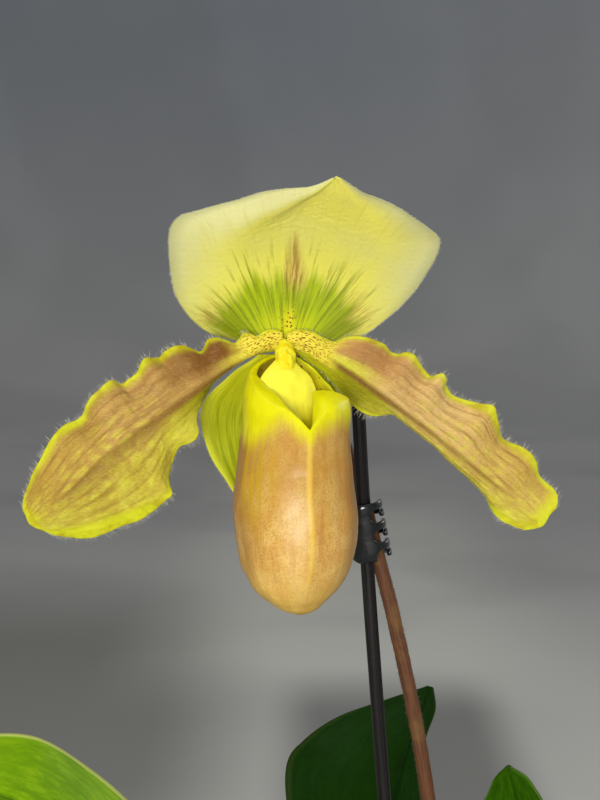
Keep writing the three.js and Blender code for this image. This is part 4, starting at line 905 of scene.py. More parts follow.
def paint_dorsal():
    """Green streaks fan out from below the base; angle and radius are about that fan's centre."""
    p = Paint("dorsal_sepal")
    s, v, reach = p.s, p.v, abs(p.v)
    x, _, z = p.split(p.place)
    x = x - (FLOWER_CENTRE[0] + FAN_CENTRE[0])
    z = z - (FLOWER_CENTRE[2] + FAN_CENTRE[1])
    radius = p.math("SQRT", x * x + z * z)
    angle = p.math("ARCTAN2", x, z)
    turn = abs(angle)
    streaks = p.noise(p.vector(angle * 16, radius * 0.05, 0), 0.8, 4, 0.6)
    spikes = p.noise(p.vector(angle * 16, radius * 0.03, 4), 1.3, 3, 0.55)
    fibres = p.noise(p.vector(angle * 26, radius * 0.1, 9), 0.7, 4, 0.7)
    grain = p.noise(p.place, 0.5, 3, 0.6)
    cloud = p.noise(p.place, 9, 2)

    p.colour = p.over(rgb(212, 207, 112), p.rise(cloud, 0.42, 0.62) * 0.6, rgb(216, 210, 98))
    p.coat(p.rise(reach, 0.5, 1) * 0.9, rgb(196, 194, 136))
    # Painted light: a brighter yellow over the upper middle of the hood, which leans forward into shade.
    painted_hood_light = p.rise(s, 0.55, 0.85) * p.rise(v, -0.62, -0.4) * p.fall(v, 0.5, 0.9)
    p.coat(painted_hood_light * 0.7, rgb(238, 230, 96))
    # Painted light: a paler upper left margin, the side where the flared margin faces the light.
    p.coat(p.rise(s, 0.5, 0.8) * p.fall(v, -0.7, -0.5) * 0.7, rgb(224, 221, 156))
    # Painted shade: the outermost edges darker.
    p.coat(p.rise(reach, 0.88, 1) * 0.6, rgb(158, 160, 114))
    p.coat(p.rise(fibres, 0.5, 0.66) * 0.25, rgb(196, 188, 84))
    p.coat(p.fall(radius, 18, 34) * 0.6, rgb(222, 216, 62))

    inside = 20.6 - radius - turn * 1.2 + (spikes - 0.5) * 10 + (fibres - 0.5) * 4
    leafy = p.over(rgb(170, 186, 0), p.rise(streaks, 0.42, 0.58) * 0.6, rgb(116, 136, 0))
    leafy = p.over(leafy, p.rise(turn, 0.5, 1.0) * 0.6, rgb(104, 112, 0))
    leafy = p.over(leafy, p.fall(radius, 8, 15) * p.fall(turn, 0.3, 0.9) * 0.7, rgb(214, 218, 0))
    within = p.fall(turn + (spikes - 0.5) * 0.3, 0.98, 1.14)
    p.coat(p.rise(inside, -1.5, 3) * within, leafy)
    rays = p.rise(streaks, 0.54, 0.62) * p.fall(radius + (spikes - 0.5) * -16 + turn * 2, 21, 28) * within
    p.coat(rays * 0.7, rgb(126, 136, 0))
    tips = p.rise(inside, -4, -1) * p.fall(inside, 0, 4) * p.rise(turn, 0.6, 0.9) * within
    p.coat(tips * (0.06 + 0.4 * p.rise(fibres, 0.44, 0.58)), rgb(156, 116, 54))

    spread = abs(x - 1.9 + (streaks - 0.5) * 3) + (radius - 21) * 0.16
    core = p.fall(spread, 0.6, 3) * p.rise(radius, 15, 20) * p.fall(radius, 26, 31)
    rose = p.over(rgb(206, 168, 88), p.rise(fibres, 0.44, 0.58) * 0.85, rgb(136, 90, 36))
    p.coat(core * 0.72, rose)
    olive = p.fall(abs(x - 1.3), 0.2, 1.6) * p.rise(radius, 12, 16) * p.fall(radius, 18, 24)
    p.coat(olive * p.rise(fibres, 0.42, 0.56) * 0.6, rgb(110, 88, 14))
    centre = p.fall(abs(x - 0.8), 0.3, 1.5) * p.fall(radius, 10, 15)
    p.coat(centre * 0.5, rgb(238, 222, 30))
    flecks = p.spots(p.place, 0.62, 0.7, 0.26, 0.42) * p.fall(abs(x - 0.6), 0.8, 2.6)
    flecks = flecks * p.fall(radius, 10.5, 16.5)
    p.coat(flecks, rgb(128, 64, 14))
    p.coat(p.back * 0.5, rgb(206, 208, 120))
    height = grain * 0.06 + fibres * 0.08 + streaks * 0.04
    return p.finish(0.5 + 0.15 * grain, height, Sheen_Weight=0.1, **SOFT_TISSUE)


def synsepal_shape():
    s, v, points, normals, _ = blade_grid(SYNSEPAL, *SYNSEPAL_GRID)
    reach = np.abs(v)
    points = pushed(points, normals, 0.2 * ripple(points, 8, 41))
    nerves = 0.1 * np.abs(np.cos(math.pi * 8 * v)) ** 0.7 * step(1 - reach, 0.02, 0.2)
    half = 0.18 + 0.3 * (1 - reach**3)
    return thick_sheet(points + FLOWER_CENTRE, normals, s, v, half + nerves, half - nerves)


def paint_synsepal():
    p = Paint("synsepal")
    s, v, reach = p.s, p.v, abs(p.v)
    streaks = p.noise(p.vector(v * 15, s * 3, p.side), 1.1, 4)
    grain = p.noise(p.place, 0.5, 3, 0.6)
    nerves = p.lines(v * 8 + (streaks - 0.5) * 0.3, 0.2)
    p.colour = p.over(rgb(180, 186, 30), p.rise(streaks, 0.42, 0.62), rgb(146, 154, 6))
    p.coat(nerves * 0.4, rgb(146, 158, 10))
    p.coat(p.rise(reach, 0.82, 0.95) * 0.8, rgb(222, 226, 60))
    p.coat(p.fall(s, 0.1, 0.5) * p.fall(v, -0.2, 0.2) * 0.6, rgb(206, 204, 20))
    height = streaks * 0.06 + nerves * -0.04 + grain * 0.04
    return p.finish(0.45 + 0.15 * grain, height, Sheen_Weight=0.05, **SOFT_TISSUE)


def make_sepals():
    down = paint_hair("sepal_down", HAIR_PALE)
    make_piece("dorsal_sepal", dorsal_shape(), paint_dorsal(), replaces=("dorsal_sepal",))
    fringe = margin_hairs(lambda s, v: on_rails(DORSAL_RAILS, s, v), 35, **DORSAL_DOWN)
    make_piece("dorsal_sepal_down", fringe, down)
    make_piece("synsepal", synsepal_shape(), paint_synsepal(), replaces=("synsepal",))
    fringe = margin_hairs(lambda s, v: blade(SYNSEPAL, s, v), 45, **SYNSEPAL_DOWN)
    make_piece("synsepal_down", fringe, down)


# ---- pouch -------------------------------------------------------------------------------
# By depth below the centre: half width, sideways shift, front and back of the wall. By the
# angle from the front, in degrees, to the right positive: the rim's depth and the ears' length.
POUCH_DEPTH = 54.2
POUCH_WALL = 0.9
POUCH_HALF = [
    (2.4, 4), (4, 6.6), (6, 8.6), (9, 10.2), (12, 10.8), (16, 10.9), (20, 11.1), (25, 11.6), (30, 12.2),
    (35, 12.5), (40, 12), (44.5, 10.8), (48, 8.9), (51, 6), (53.2, 2.9), (54.2, 0.05)]
POUCH_SIDE = [
    (2, 0.2), (12, 0), (18, -0.6), (25, -1.2), (30, -1.4), (35, -1.2), (45, -1.4), (50, -1.7),
    (54.2, -0.9)]
POUCH_FRONT = [
    (2.4, -6), (6, -13), (9, -18), (12, -20.5), (16, -22.2), (20, -23.4), (25, -24.8), (30, -26),
    (35, -26.6), (40, -26.4), (44.5, -25.4), (48, -24), (51, -21.8), (53.2, -18.8), (54.2, -15.6)]
POUCH_BACK = [
    (2.4, 2), (6, 2), (9, 1.4), (12, 0.6), (16, -0.2), (20, -0.6), (25, -0.8), (30, -1), (35, -1.4),
    (40, -2.6), (44.5, -4.6), (48, -7), (51, -9.4), (53.2, -12.4), (54.2, -15.5)]
POUCH_RIM = [
    (-180, 3.6), (-150, 3.6), (-130, 4.2), (-110, 5.2), (-90, 6.5), (-70, 8), (-56, 10.1), (-42, 11.5),
    (-22, 12.9), (-10, 14.6), (-3.5, 15.8), (-1, 16.3), (3, 15.8), (10, 14.8), (21, 13), (33, 12.3),
    (50, 11.7), (70, 11.6), (95, 11.8), (114, 11), (126, 8.6), (136, 6), (147, 4.3), (158, 3.7),
    (180, 3.6)]
POUCH_EAR = [
    (-180, 0.7), (-110, 1.4), (-85, 2.4), (-68, 4), (-56, 5.6), (-44, 6.4), (-34, 5), (-26, 2.4),
    (-14, 1), (-1, 0.5), (4, 1.8), (8, 4), (13, 6), (20, 7.8), (29, 8.8), (38, 8.8), (50, 7.4),
    (64, 4.8), (80, 2.4), (98, 1.2), (130, 0.9), (180, 0.7)]
POUCH_AROUND = 220
POUCH_ROWS = (88, 28)
EAR_LEAN = math.radians(14)
EAR_BEND = math.radians(66)


def pouch_wall(angle, depth):
    """Points of the outer wall by the angle from the front and the depth below the centre."""
    front = spline(POUCH_FRONT, depth)
    back = spline(POUCH_BACK, depth)
    crest = 0.55 * np.exp(-np.abs(angle) / 0.2) * step(depth, 14, 19) * step(53 - depth, 0, 8)
    x = spline(POUCH_SIDE, depth) + spline(POUCH_HALF, depth) * np.sin(angle)
    y = (front + back) / 2 - (back - front) / 2 * np.cos(angle) - crest
    return np.stack([x, y, -depth], -1)


def pouch_ear(angle, reach):
    """The wall's continuation above the rim, leaning inwards."""
    degrees = np.degrees(angle)
    depth = spline(POUCH_RIM, degrees)
    rim = pouch_wall(angle, depth)
    up = unit(rim - pouch_wall(angle, depth + 0.5))
    inward = unit(np.stack([-np.sin(angle), 0.8 * np.cos(angle) + 0.5, 0 * angle], -1))
    inward = unit(inward - (inward * up).sum(-1, keepdims=True) * up)
    length = spline(POUCH_EAR, degrees)
    parts = 16
    share = (np.arange(parts) + 0.5) / parts
    bend = EAR_BEND * reach
    turn = EAR_LEAN * np.minimum(reach * length / 1.5, 1)[..., None] + bend[..., None] * share
    rise = (length * reach * np.cos(turn).mean(-1))[..., None] * up
    return rim + rise + (length * reach * np.sin(turn).mean(-1))[..., None] * inward


def pouch_point(angle, t):
    """angle from the front; t is 0 at the bottom, 1 at the rim and above 1 in the ear."""
    rim = spline(POUCH_RIM, np.degrees(angle))
    below = pouch_wall(angle, POUCH_DEPTH - (POUCH_DEPTH - rim) * np.minimum(t, 1) ** 1.5)
    above = pouch_ear(angle, np.maximum(t - 1, 0))
    return np.where((t > 1)[..., None], above, below)


def pouch_shape():
    """The slipper: outer wall, rounded edge of its ears, and inner wall."""
    below, above = POUCH_ROWS
    levels = np.concatenate([np.linspace(0.03, 1, below, endpoint=False), np.linspace(1, 2, above)])
    angles = np.linspace(-math.pi, math.pi, POUCH_AROUND, endpoint=False)
    t, angle = np.meshgrid(levels, angles, indexing="ij")
    small = 2e-3
    outer = pouch_point(angle, t)
    right = np.minimum(angle + 0.01, math.pi)
    left = np.maximum(angle - 0.01, -math.pi)
    across = pouch_point(right, t) - pouch_point(left, t)
    along = pouch_point(angle, np.minimum(t + small, 2)) - pouch_point(angle, t - small)
    normal = unit(np.cross(across, along))
    edge_way = unit(along[-1])
    relief = 0.1 * ripple(outer, 6, 51) + 0.02 * ripple(outer, 1.3, 52)
    relief *= step(t, 0.03, 0.2) * step(2 - t, 0, 0.3)
    inner = outer - normal * POUCH_WALL
    outer = pushed(outer, normal, relief)
    middle = (outer[-1] + inner[-1]) / 2
    half = POUCH_WALL / 2
    turns = np.linspace(0, math.pi, 8)[1:-1]
    edge = [middle + half * (normal[-1] * math.cos(a) + edge_way * math.sin(a)) for a in turns]
    rings = np.concatenate([outer, np.array(edge), inner[::-1]])
    edge_t = np.full((len(turns), POUCH_AROUND), 2.0)
    side = np.concatenate([np.ones_like(t), 0.3 * np.ones_like(edge_t), -np.ones_like(t)])
    heights = np.concatenate([t, edge_t, t[::-1]])
    places = np.stack([heights, np.broadcast_to(angles / math.pi, side.shape), side], -1)
    return loft(Shape(), turned(rings) + FLOWER_CENTRE, places)


def paint_pouch():
    """s runs from the bottom to the rim (1) and the ears' edge (2), v is the angle over 180."""
    p = Paint("pouch")
    t, turn = p.s, p.v
    z = p.split(p.place)[2]
    flow = p.vector(turn * 40, z * 0.14, p.side * 5)
    streaks = p.noise(flow, 1.5, 4, 0.6)
    wide = p.noise(p.vector(turn * 40, z * 0.3, p.side * 5), 4.5, 2)
    mottle = p.noise(p.place, 0.5, 4, 0.75)
    freckles = p.noise(p.place, 0.28, 2, 0.6)
    cloud = p.noise(p.place, 6, 3)

    p.colour = p.over(rgb(224, 174, 94), p.rise(cloud, 0.42, 0.6), rgb(236, 198, 118))
    p.coat(p.rise(streaks, 0.48, 0.66) * 0.5, rgb(192, 136, 62))
    p.coat(p.fall(streaks, 0.36, 0.48) * 0.35, rgb(222, 190, 76))
    p.coat(p.rise(mottle, 0.47, 0.62) * 0.42, rgb(172, 112, 52))
    p.coat(p.rise(freckles, 0.54, 0.66) * 0.42, rgb(146, 92, 50))
    p.coat(p.rise(t, 0.45, 0.85) * 0.55, rgb(176, 128, 34))

    # Painted shade: darker brown patches down both flanks, where the wall turns away from the light.
    painted_flank_shade = p.rise(abs(turn + 0.05), 0.16, 0.4)
    p.coat(painted_flank_shade * p.rise(wide, 0.3, 0.56) * 0.75, rgb(150, 100, 42))
    # Painted highlight: a pale cream patch on the front of the pouch.
    face = p.fall(abs(turn + 0.08), 0.02, 0.12) * p.rise(t, 0.2, 0.45) * p.fall(t, 0.6, 0.9)
    p.coat(face * 0.26, rgb(250, 216, 150))
    left = p.rise(turn, -0.6, -0.4) * p.fall(turn, -0.26, -0.12) * p.rise(t, 0.4, 0.75)
    p.coat(left * (0.15 + 0.85 * p.rise(streaks, 0.46, 0.56)) * 0.7, rgb(196, 160, 24))
    behind = p.rise(abs(turn), 0.5, 0.8)
    p.coat(behind * 0.5, rgb(206, 190, 70))
    seam = p.fall(abs(turn + 0.006 + (wide - 0.5) * 0.01), 0.002, 0.026) * p.rise(t, 0.2, 0.5)
    p.coat(seam * 0.55, rgb(240, 202, 70))
    # Painted light: the lower part of the pouch made lighter.
    p.coat(p.fall(t, 0.15, 0.6) * 0.6, rgb(228, 188, 88))

    reach = 0.12 * p.rise(turn * -1, 0.12, 0.42) + 0.03 * p.rise(turn, 0.15, 0.4)
    glow = p.rise(t + (streaks - 0.5) * 0.07 + (wide - 0.5) * 0.06 + reach, 0.915, 1.005)
    yellow = p.over(rgb(230, 225, 0), p.rise(cloud, 0.44, 0.6) * 0.6, rgb(216, 208, 0))
    yellow = p.over(yellow, p.rise(streaks, 0.54, 0.7) * 0.3, rgb(202, 184, 4))
    p.coat(glow, yellow)
    dots = p.spots(p.place, 5.2, 0.5, 0.045, 0.07) * p.fall(t, 0.8, 0.95)
    p.coat(dots * 0.9, rgb(104, 38, 16))

    inside = p.over(rgb(182, 168, 30), p.rise(cloud, 0.4, 0.6), rgb(150, 128, 20))
    inside = p.over(inside, p.rise(turn, 0.1, 0.4) * 0.8, rgb(216, 206, 20))
    inside = p.over(inside, p.spots(p.place, 0.9, 0.7, 0.2, 0.34) * p.fall(t, 1.2, 1.5), rgb(112, 52, 14))
    p.coat(p.rise(-1 * p.side, 0.0, 0.6) * p.fall(t, 1.1, 1.5), inside)
    height = mottle * 0.02 + streaks * 0.05 + freckles * 0.02
    return p.finish(0.32 + 0.16 * mottle, height, Coat_Weight=0.16, Coat_Roughness=0.32, **SOFT_TISSUE)


def make_pouch():
    make_piece("pouch", pouch_shape(), paint_pouch(), replaces=("pouch",))


# ---- column, staminode, ovary, bract -------------------------------------------------------
COLUMN_PATH = [(0, 0.2, 1.6, -0.5), (0.3, 0, -0.5, -1.3), (0.66, -0.5, -3, -3.4), (1, -0.9, -6, -6.1)]
COLUMN_RADIUS = [(0, 0.9), (0.3, 1.5), (0.56, 2), (0.7, 2.1), (0.86, 1.7), (1, 1.2)]
OVARY_PATH = [(0, 9.6, 24.2, -13.6), (0.3, 7.6, 20.4, -6.4), (0.65, 4.2, 12.6, -1.6), (1, 0.8, 3.4, -0.5)]
OVARY_RADIUS = [(0, 1.7), (0.2, 2.3), (0.55, 3), (0.85, 2.6), (1, 2.2)]
OVARY_RIBS = 6
OVARY_DOWN = {"count": 1500, "longest": 0.8, "thick": 0.035}
STAMINODE_GRID = (84, 64)
BRACT_GRID = (70, 52)


def unrolled(s, angle, length, radius):
    """Places on a straight rod that stand for places on a bent one."""
    return np.stack(np.broadcast_arrays(length * s, radius * np.cos(angle), radius * np.sin(angle)), -1)


def column_shape():
    s = np.linspace(0, 1, 70)
    path = turned(spline(COLUMN_PATH, s)) + FLOWER_CENTRE

    def knobs(s, angle):
        around = unrolled(s, angle, 9, 3)
        return 0.14 * ripple(around, 2.2, 61) + 0.04 * ripple(around, 0.8, 62)

    return rod(Shape(), path, spline(COLUMN_RADIUS, s), 56, 0.5, knobs)


def staminode_shape():
    s, v, points, normals, distance = blade_grid(STAMINODE, *STAMINODE_GRID)
    reach = np.abs(v)
    points = pushed(points, normals, 0.12 * ripple(points, 3.5, 63))
    ridge = 0.3 * hump(distance, 0.8) * step(s, 0.25, 0.7)
    boss = 0.35 * hump(distance, 0.9) * hump(s - 0.86, 0.05)
    rolled = 0.25 * hump(reach - 0.9, 0.08)
    half = 0.62 * np.sqrt(np.maximum(1 - reach**6, 0.04))
    front = half + ridge + boss + rolled
    return thick_sheet(turned(points) + FLOWER_CENTRE, turned(normals), s, v, front, half)


def paint_staminode():
    p = Paint("staminode")
    s, v, reach = p.s, p.v, abs(p.v)
    streaks = p.noise(p.vector(v * 6, s * 3, p.side), 0.9, 4)
    grain = p.noise(p.place, 0.4, 3, 0.6)
    p.colour = p.over(rgb(250, 240, 66), p.rise(s, 0.62, 0.98), rgb(222, 208, 6))
    p.coat(p.rise(reach, 0.6, 1) * 0.45, rgb(228, 212, 40))
    p.coat(p.rise(streaks, 0.5, 0.66) * p.rise(s, 0.35, 0.8) * 0.4, rgb(206, 196, 12))
    p.coat(p.fall(s, 0.02, 0.16) * 0.6, rgb(236, 218, 30))
    height = grain * 0.06 + streaks * 0.07
    return p.finish(0.34 + 0.2 * grain, height, Coat_Weight=0.1, Coat_Roughness=0.3, **SOFT_TISSUE)


def paint_column():
    p = Paint("column")
    grain = p.noise(p.place, 0.5, 4, 0.65)
    cloud = p.noise(p.place, 2.4, 2)
    p.colour = p.over(rgb(244, 232, 52), p.rise(cloud, 0.42, 0.6), rgb(240, 218, 22))
    p.coat(p.rise(grain, 0.55, 0.7) * 0.4, rgb(224, 190, 30))
    return p.finish(0.34 + 0.2 * grain, grain * 0.1, **SOFT_TISSUE)


def ovary_shape():
    s = np.linspace(0, 1, 120)
    path = spline(OVARY_PATH, s) + FLOWER_CENTRE

    def ribs(s, angle):
        return 0.2 * np.cos(OVARY_RIBS * angle) + 0.05 * np.cos(3 * OVARY_RIBS * angle + 9 * s)

    return rod(Shape(), path, spline(OVARY_RADIUS, s), 72, 0.3, ribs)


def surface_hairs(path, radius, seed, count, longest, thick):
    """Short hairs all over a rod along the path of points."""
    rng = np.random.default_rng(seed)
    tangents, sides, ups = along_path(path)
    at = rng.uniform(0, len(path) - 1.001, count)
    i = at.astype(int)
    part = (at - i)[:, None]
    centre = path[i] * (1 - part) + path[i + 1] * part
    radii = np.broadcast_to(radius, (len(path),))
    angle = rng.uniform(0, 2 * math.pi, (count, 1))
    out = sides[i] * np.cos(angle) + ups[i] * np.sin(angle)
    roots = centre + out * (radii[i] * 0.97)[:, None]
    lean = rng.normal(0, 0.35, (count, 3)) + 0.25 * tangents[i]
    lengths = rng.uniform(0.5, 1, count) * longest
    return hairs(Shape(), roots, out + lean, lengths, thick, 0.05, rng)


def paint_stem(name, base, shade, light):
    p = Paint(name)
    streaks = p.noise(p.vector(p.s * 12, p.v * 9, 0), 0.8, 4)
    grain = p.noise(p.place, 0.35, 4, 0.7)
    cloud = p.noise(p.place, 7, 2)
    p.colour = p.over(base, p.rise(streaks, 0.42, 0.64) * 0.7, shade)
    p.coat(p.rise(cloud, 0.5, 0.7) * 0.6, light)
    p.coat(p.rise(grain, 0.5, 0.7) * 0.4, shade)
    return p.finish(0.5 + 0.2 * grain, grain * 0.12 + streaks * 0.08, Specular_IOR_Level=0.3)


def bract_shape():
    s, v, points, normals, distance = blade_grid(BRACT, *BRACT_GRID)
    nerves = 0.06 * np.cos(2 * math.pi * 5 * v)
    rib = 0.25 * hump(distance, 0.7)
    half = 0.12 + 0.2 * (1 - v**2)
    return thick_sheet(points + FLOWER_CENTRE, normals, s, v, half + nerves, half - nerves + rib)


def paint_bract():
    p = Paint("bract")
    streaks = p.noise(p.vector(p.v * 8, p.s * 3, p.side), 0.8, 4)
    grain = p.noise(p.place, 0.5, 3)
    p.colour = p.over(rgb(150, 158, 60), p.rise(streaks, 0.45, 0.62) * 0.6, rgb(118, 96, 44))
    p.coat(p.fall(p.s, 0.0, 0.4) * 0.6, rgb(112, 74, 48))
    p.coat(p.spots(p.place, 0.8, 0.4, 0.18, 0.32) * 0.6, rgb(92, 44, 28))
    return p.finish(0.5 + 0.15 * grain, streaks * 0.1, **SOFT_TISSUE)


def make_flower_middle():
    make_piece("column", column_shape(), paint_column(), replaces=("column",))
    make_piece("staminode", staminode_shape(), paint_staminode(), replaces=("staminode",))
    ovary = paint_stem("ovary", rgb(136, 124, 60), rgb(98, 60, 38), rgb(158, 148, 72))
    make_piece("ovary", ovary_shape(), ovary, replaces=("ovary",))
    s = np.linspace(0, 1, 60)
    path = spline(OVARY_PATH, s) + FLOWER_CENTRE
    down = surface_hairs(path, spline(OVARY_RADIUS, s), 71, **OVARY_DOWN)
    make_piece("ovary_hairs", down, paint_hair("ovary_hair", rgb(206, 186, 158)))
    make_piece("bract", bract_shape(), paint_bract(), replaces=("bract",))


# ---- scape and stake -----------------------------------------------------------------------
SCAPE_RADIUS = 1.6
SCAPE_LENGTH = 190
SCAPE_DOWN = {"count": 3300, "longest": 0.75, "thick": 0.034}
STAKE_RADIUS = 1.5
SCAPE_POINTS = [
    (0, 0, 96.3), (0.2, -3.4, 122), (-3.2, -9.8, 156), (-9.4, -15.6, 193), (-12.2, -17.2, 209.8),
    (-15.6, -18, 226.2), (-18.3, -18.5, 238.2), (-21.5, -18.4, 250.4), (-25, -18.4, 263.2),
    (-29.3, -19.2, 276), (-32.1, -20.5, 285.3)]
STAKE_POINTS = [(-8, -15, 45), (-17.6, -18.9, 168), (-23.9, -21.6, 250), (-26.4, -23.2, 291)]


def make_stems():
    path = through(SCAPE_POINTS, 300)

    def uneven(s, angle):
        around = unrolled(s, angle, SCAPE_LENGTH, SCAPE_RADIUS)
        return 0.05 * ripple(around, 6, 81) + 0.025 * ripple(around, 1, 82)

    def drawn(s, angle):
        return 0.02 * np.cos(7 * angle) + 0.012 * np.cos(3 * angle + 40 * s)

    shape = rod(Shape(), path, SCAPE_RADIUS, 28, 0.3, uneven)
    material = paint_stem("scape", rgb(108, 68, 40), rgb(68, 38, 24), rgb(126, 92, 46))
    make_piece("scape", shape, material, replaces=("scape",))
    down = surface_hairs(path, SCAPE_RADIUS, 83, **SCAPE_DOWN)
    make_piece("scape_hairs", down, paint_hair("scape_hair", rgb(136, 104, 84)))

    shape = rod(Shape(), through(STAKE_POINTS, 200), STAKE_RADIUS, 40, 1.0, drawn)
    make_piece("stake", shape, paint_stake(), replaces=("stake",))


def paint_stake():
    p = Paint("stake")
    lines = p.noise(p.vector(p.v * 14, p.s * 6, 0), 0.8, 4)
    grain = p.noise(p.place, 0.5, 3)
    p.colour = p.over(rgb(22, 19, 20), p.rise(lines, 0.45, 0.62), rgb(36, 31, 31))
    p.coat(p.rise(grain, 0.58, 0.72) * 0.4, rgb(60, 54, 52))
    return p.finish(0.3 + 0.25 * lines, lines * 0.08 + grain * 0.02, Specular_IOR_Level=0.2)


# ---- claw clip -----------------------------------------------------------------------------
# In the clip's own frame: its axis is Z, the stems pass through the middle, the hinge is on
# the -X side and the fingers meet on the +X side.
CLIP_PLACE = np.array([-23.95, -20.15, 255.9])
CLIP_LEAN = math.radians(11)
CLIP_HEIGHT = 13
CLIP_HALF_WIDTH = 3.6
CLIP_HALF_DEPTH = 4.2
CLIP_WALL = 1.05
OVAL_POWER = 2.5
HINGE_X = -(CLIP_HALF_WIDTH + CLIP_WALL + 1.9)
PIN_RADIUS = 0.8
PIN_HEAD_RADIUS = 1.3
PIN_HALF_LENGTH = 5.5
PIN_DOME = 0.5
SPRING_TURNS = 3
SPRING_RADIUS = 1.5
SPRING_HALF_LENGTH = 1.15
SPRING_WIRE = 0.25
KNUCKLE_RADIUS = 1.7
KNUCKLE_BORE = 1.1
FINGER_HALF = 0.85
FINGER_END = -24
TAB_TURN = math.radians(145)
TAB_RIDGES = (5.2, 6.4, 7.6, 8.8)
TAB_RIDGE_RADIUS = 0.28
CLIP_VOXEL = 0.17
JAWS = {
    "clip_jaw_front": {"side": -1, "fingers": (5.65, 1.15, -3.35), "knuckles": ((-3.3, -1.9), (1.9, 3.3))},
    "clip_jaw_back": {"side": 1, "fingers": (3.4, -1.1, -5.65), "knuckles": ((-5.2, -3.6), (3.6, 5.2))},
}


def clip_to_plant(points):
    """Points of the clip's own frame as points of the plant's."""
    turn = np.array(Matrix.Rotation(-CLIP_LEAN, 3, "Y"))
    return np.asarray(points) @ turn.T + CLIP_PLACE


def oval(degrees, offset):
    """Points of the clip's rounded-oval section, `offset` outside its inner face."""
    angle = np.radians(degrees)
    x = (CLIP_HALF_WIDTH + offset) * signed_power(np.cos(angle), 2 / OVAL_POWER)
    y = (CLIP_HALF_DEPTH + offset) * signed_power(np.sin(angle), 2 / OVAL_POWER)
    return x, y


def wall_strip(shape, side, degrees, low, high, thickness):
    """A strip of the clip's wall with rounded edges; low, high and thickness go by the angle."""
    middle_x, middle_y = oval(degrees, CLIP_WALL / 2)
    path = np.stack([middle_x, middle_y * side], -1)
    tangent = unit(np.gradient(path, axis=0))
    normal = np.stack([tangent[:, 1], -tangent[:, 0]], -1)
    turn = circle(20)
    ring_out = signed_power(np.cos(turn), 0.55)
    ring_up = signed_power(np.sin(turn), 0.55)
    centre = (low + high) / 2
    half = (high - low) / 2
    flat = path[:, None, :] + normal[:, None, :] * (thickness[:, None] / 2 * ring_out)[..., None]
    z = centre[:, None] + half[:, None] * ring_up
    loft(shape, clip_to_plant(np.concatenate([flat, z[..., None]], -1)))


def prism(shape, outline, low, high):
    """A closed block from a flat outline in the clip's XY plane."""
    outline = np.array(outline, float)
    rings = np.stack([np.column_stack([outline, np.full(len(outline), z)]) for z in (low, high)])
    loft(shape, clip_to_plant(rings))


def knuckle(shape, low, high):
    """A ring about the hinge's pin."""
    corner = 0.2
    profile = [(KNUCKLE_BORE, low), (KNUCKLE_RADIUS - corner, low), (KNUCKLE_RADIUS, low + corner),
               (KNUCKLE_RADIUS, high - corner), (KNUCKLE_RADIUS - corner, high), (KNUCKLE_BORE, high)]
    ring = lathe(Shape(), profile, 48, (HINGE_X, 0, 0))
    shape.add(clip_to_plant(ring.points[0]), ring.faces)


def jaw_shape(side, fingers, knuckles):
    """A curved plate, three hooked fingers with flared roots, an arm at each knuckle and a tab."""
    shape = Shape()
    end = CLIP_HEIGHT / 2
    degrees = np.linspace(166, 78, 60)
    swell = 0.35 * hump(degrees - 150, 14)
    top = end - 0.9 * step(degrees, 120, 166)
    wall_strip(shape, side, degrees, -top, top, CLIP_WALL + swell)
    degrees = np.linspace(96, FINGER_END, 70)
    flare = 1.5 * step(degrees, 52, 92) ** 1.5
    taper = 1 - 0.4 * step(-degrees, 0, -FINGER_END)
    for z in fingers:
        high = np.minimum(z + FINGER_HALF * taper + flare, end)
        low = np.maximum(z - FINGER_HALF * taper - flare, -end)
        wall_strip(shape, side, degrees, low, high, CLIP_WALL * (1.05 - 0.3 * (1 - taper)))
    outer = CLIP_HALF_WIDTH + CLIP_WALL
    along = np.array([math.cos(TAB_TURN), math.sin(TAB_TURN)])

    def at(a, b):
        """The point a along the tab from the hinge and b to its side."""
        return (HINGE_X + along[0] * a - along[1] * b, side * (along[1] * a + along[0] * b))

    for low, high in knuckles:
        knuckle(shape, low, high)
        prism(shape, [(-outer + 0.7, side * 1.2), (-outer + 1.3, side * 2.9), (HINGE_X + 0.9, side * 2.7),
                      (HINGE_X + 0.2, side * 1.5), (HINGE_X + 1.3, side * 1.0)], low, high)
        prism(shape, [at(1.2, -1.1), at(3.2, -1.5), at(3.2, -0.2), at(1.2, 0.3)], low, high)
    tab = [at(2.4, -1.45), at(9.2, -1.35), at(9.5, -1.0), at(9.5, -0.5), at(9.2, -0.2), at(2.4, -0.1)]
    prism(shape, tab, -end * 0.8, end * 0.8)
    for reach in TAB_RIDGES:
        x, y = at(reach, -1.35)
        ridge = np.array([(x, y, -end * 0.66 + end * 1.32 * u) for u in np.linspace(0, 1, 12)])
        rod(shape, clip_to_plant(ridge), TAB_RIDGE_RADIUS, 10, 1.0)
    return shape


def paint_clip():
    p = Paint("clip_plastic")
    swirl = p.noise(p.place, 3.2, 3)
    grain = p.noise(p.place, 0.5, 3)
    scuffs = p.noise(p.scaled(p.place, (1, 1, 0.2)), 0.7, 4, 0.7)
    p.colour = p.over(rgb(9, 13, 12), p.rise(swirl, 0.4, 0.62), rgb(18, 26, 26))
    p.coat(p.rise(scuffs, 0.58, 0.74) * 0.35, rgb(66, 78, 80))
    return p.finish(0.3 + 0.16 * scuffs, grain * 0.012 + scuffs * 0.01, Coat_Weight=0.7,
                    Coat_Roughness=0.07, Specular_IOR_Level=0.2)


def paint_steel():
    p = Paint("clip_steel")
    grain = p.noise(p.scaled(p.place, (1, 1, 4)), 0.4, 4, 0.7)
    p.colour = p.over(rgb(196, 196, 192), p.rise(grain, 0.5, 0.7), rgb(150, 148, 144))
    return p.finish(0.25 + 0.2 * grain, grain * 0.01, Metallic=1.0)


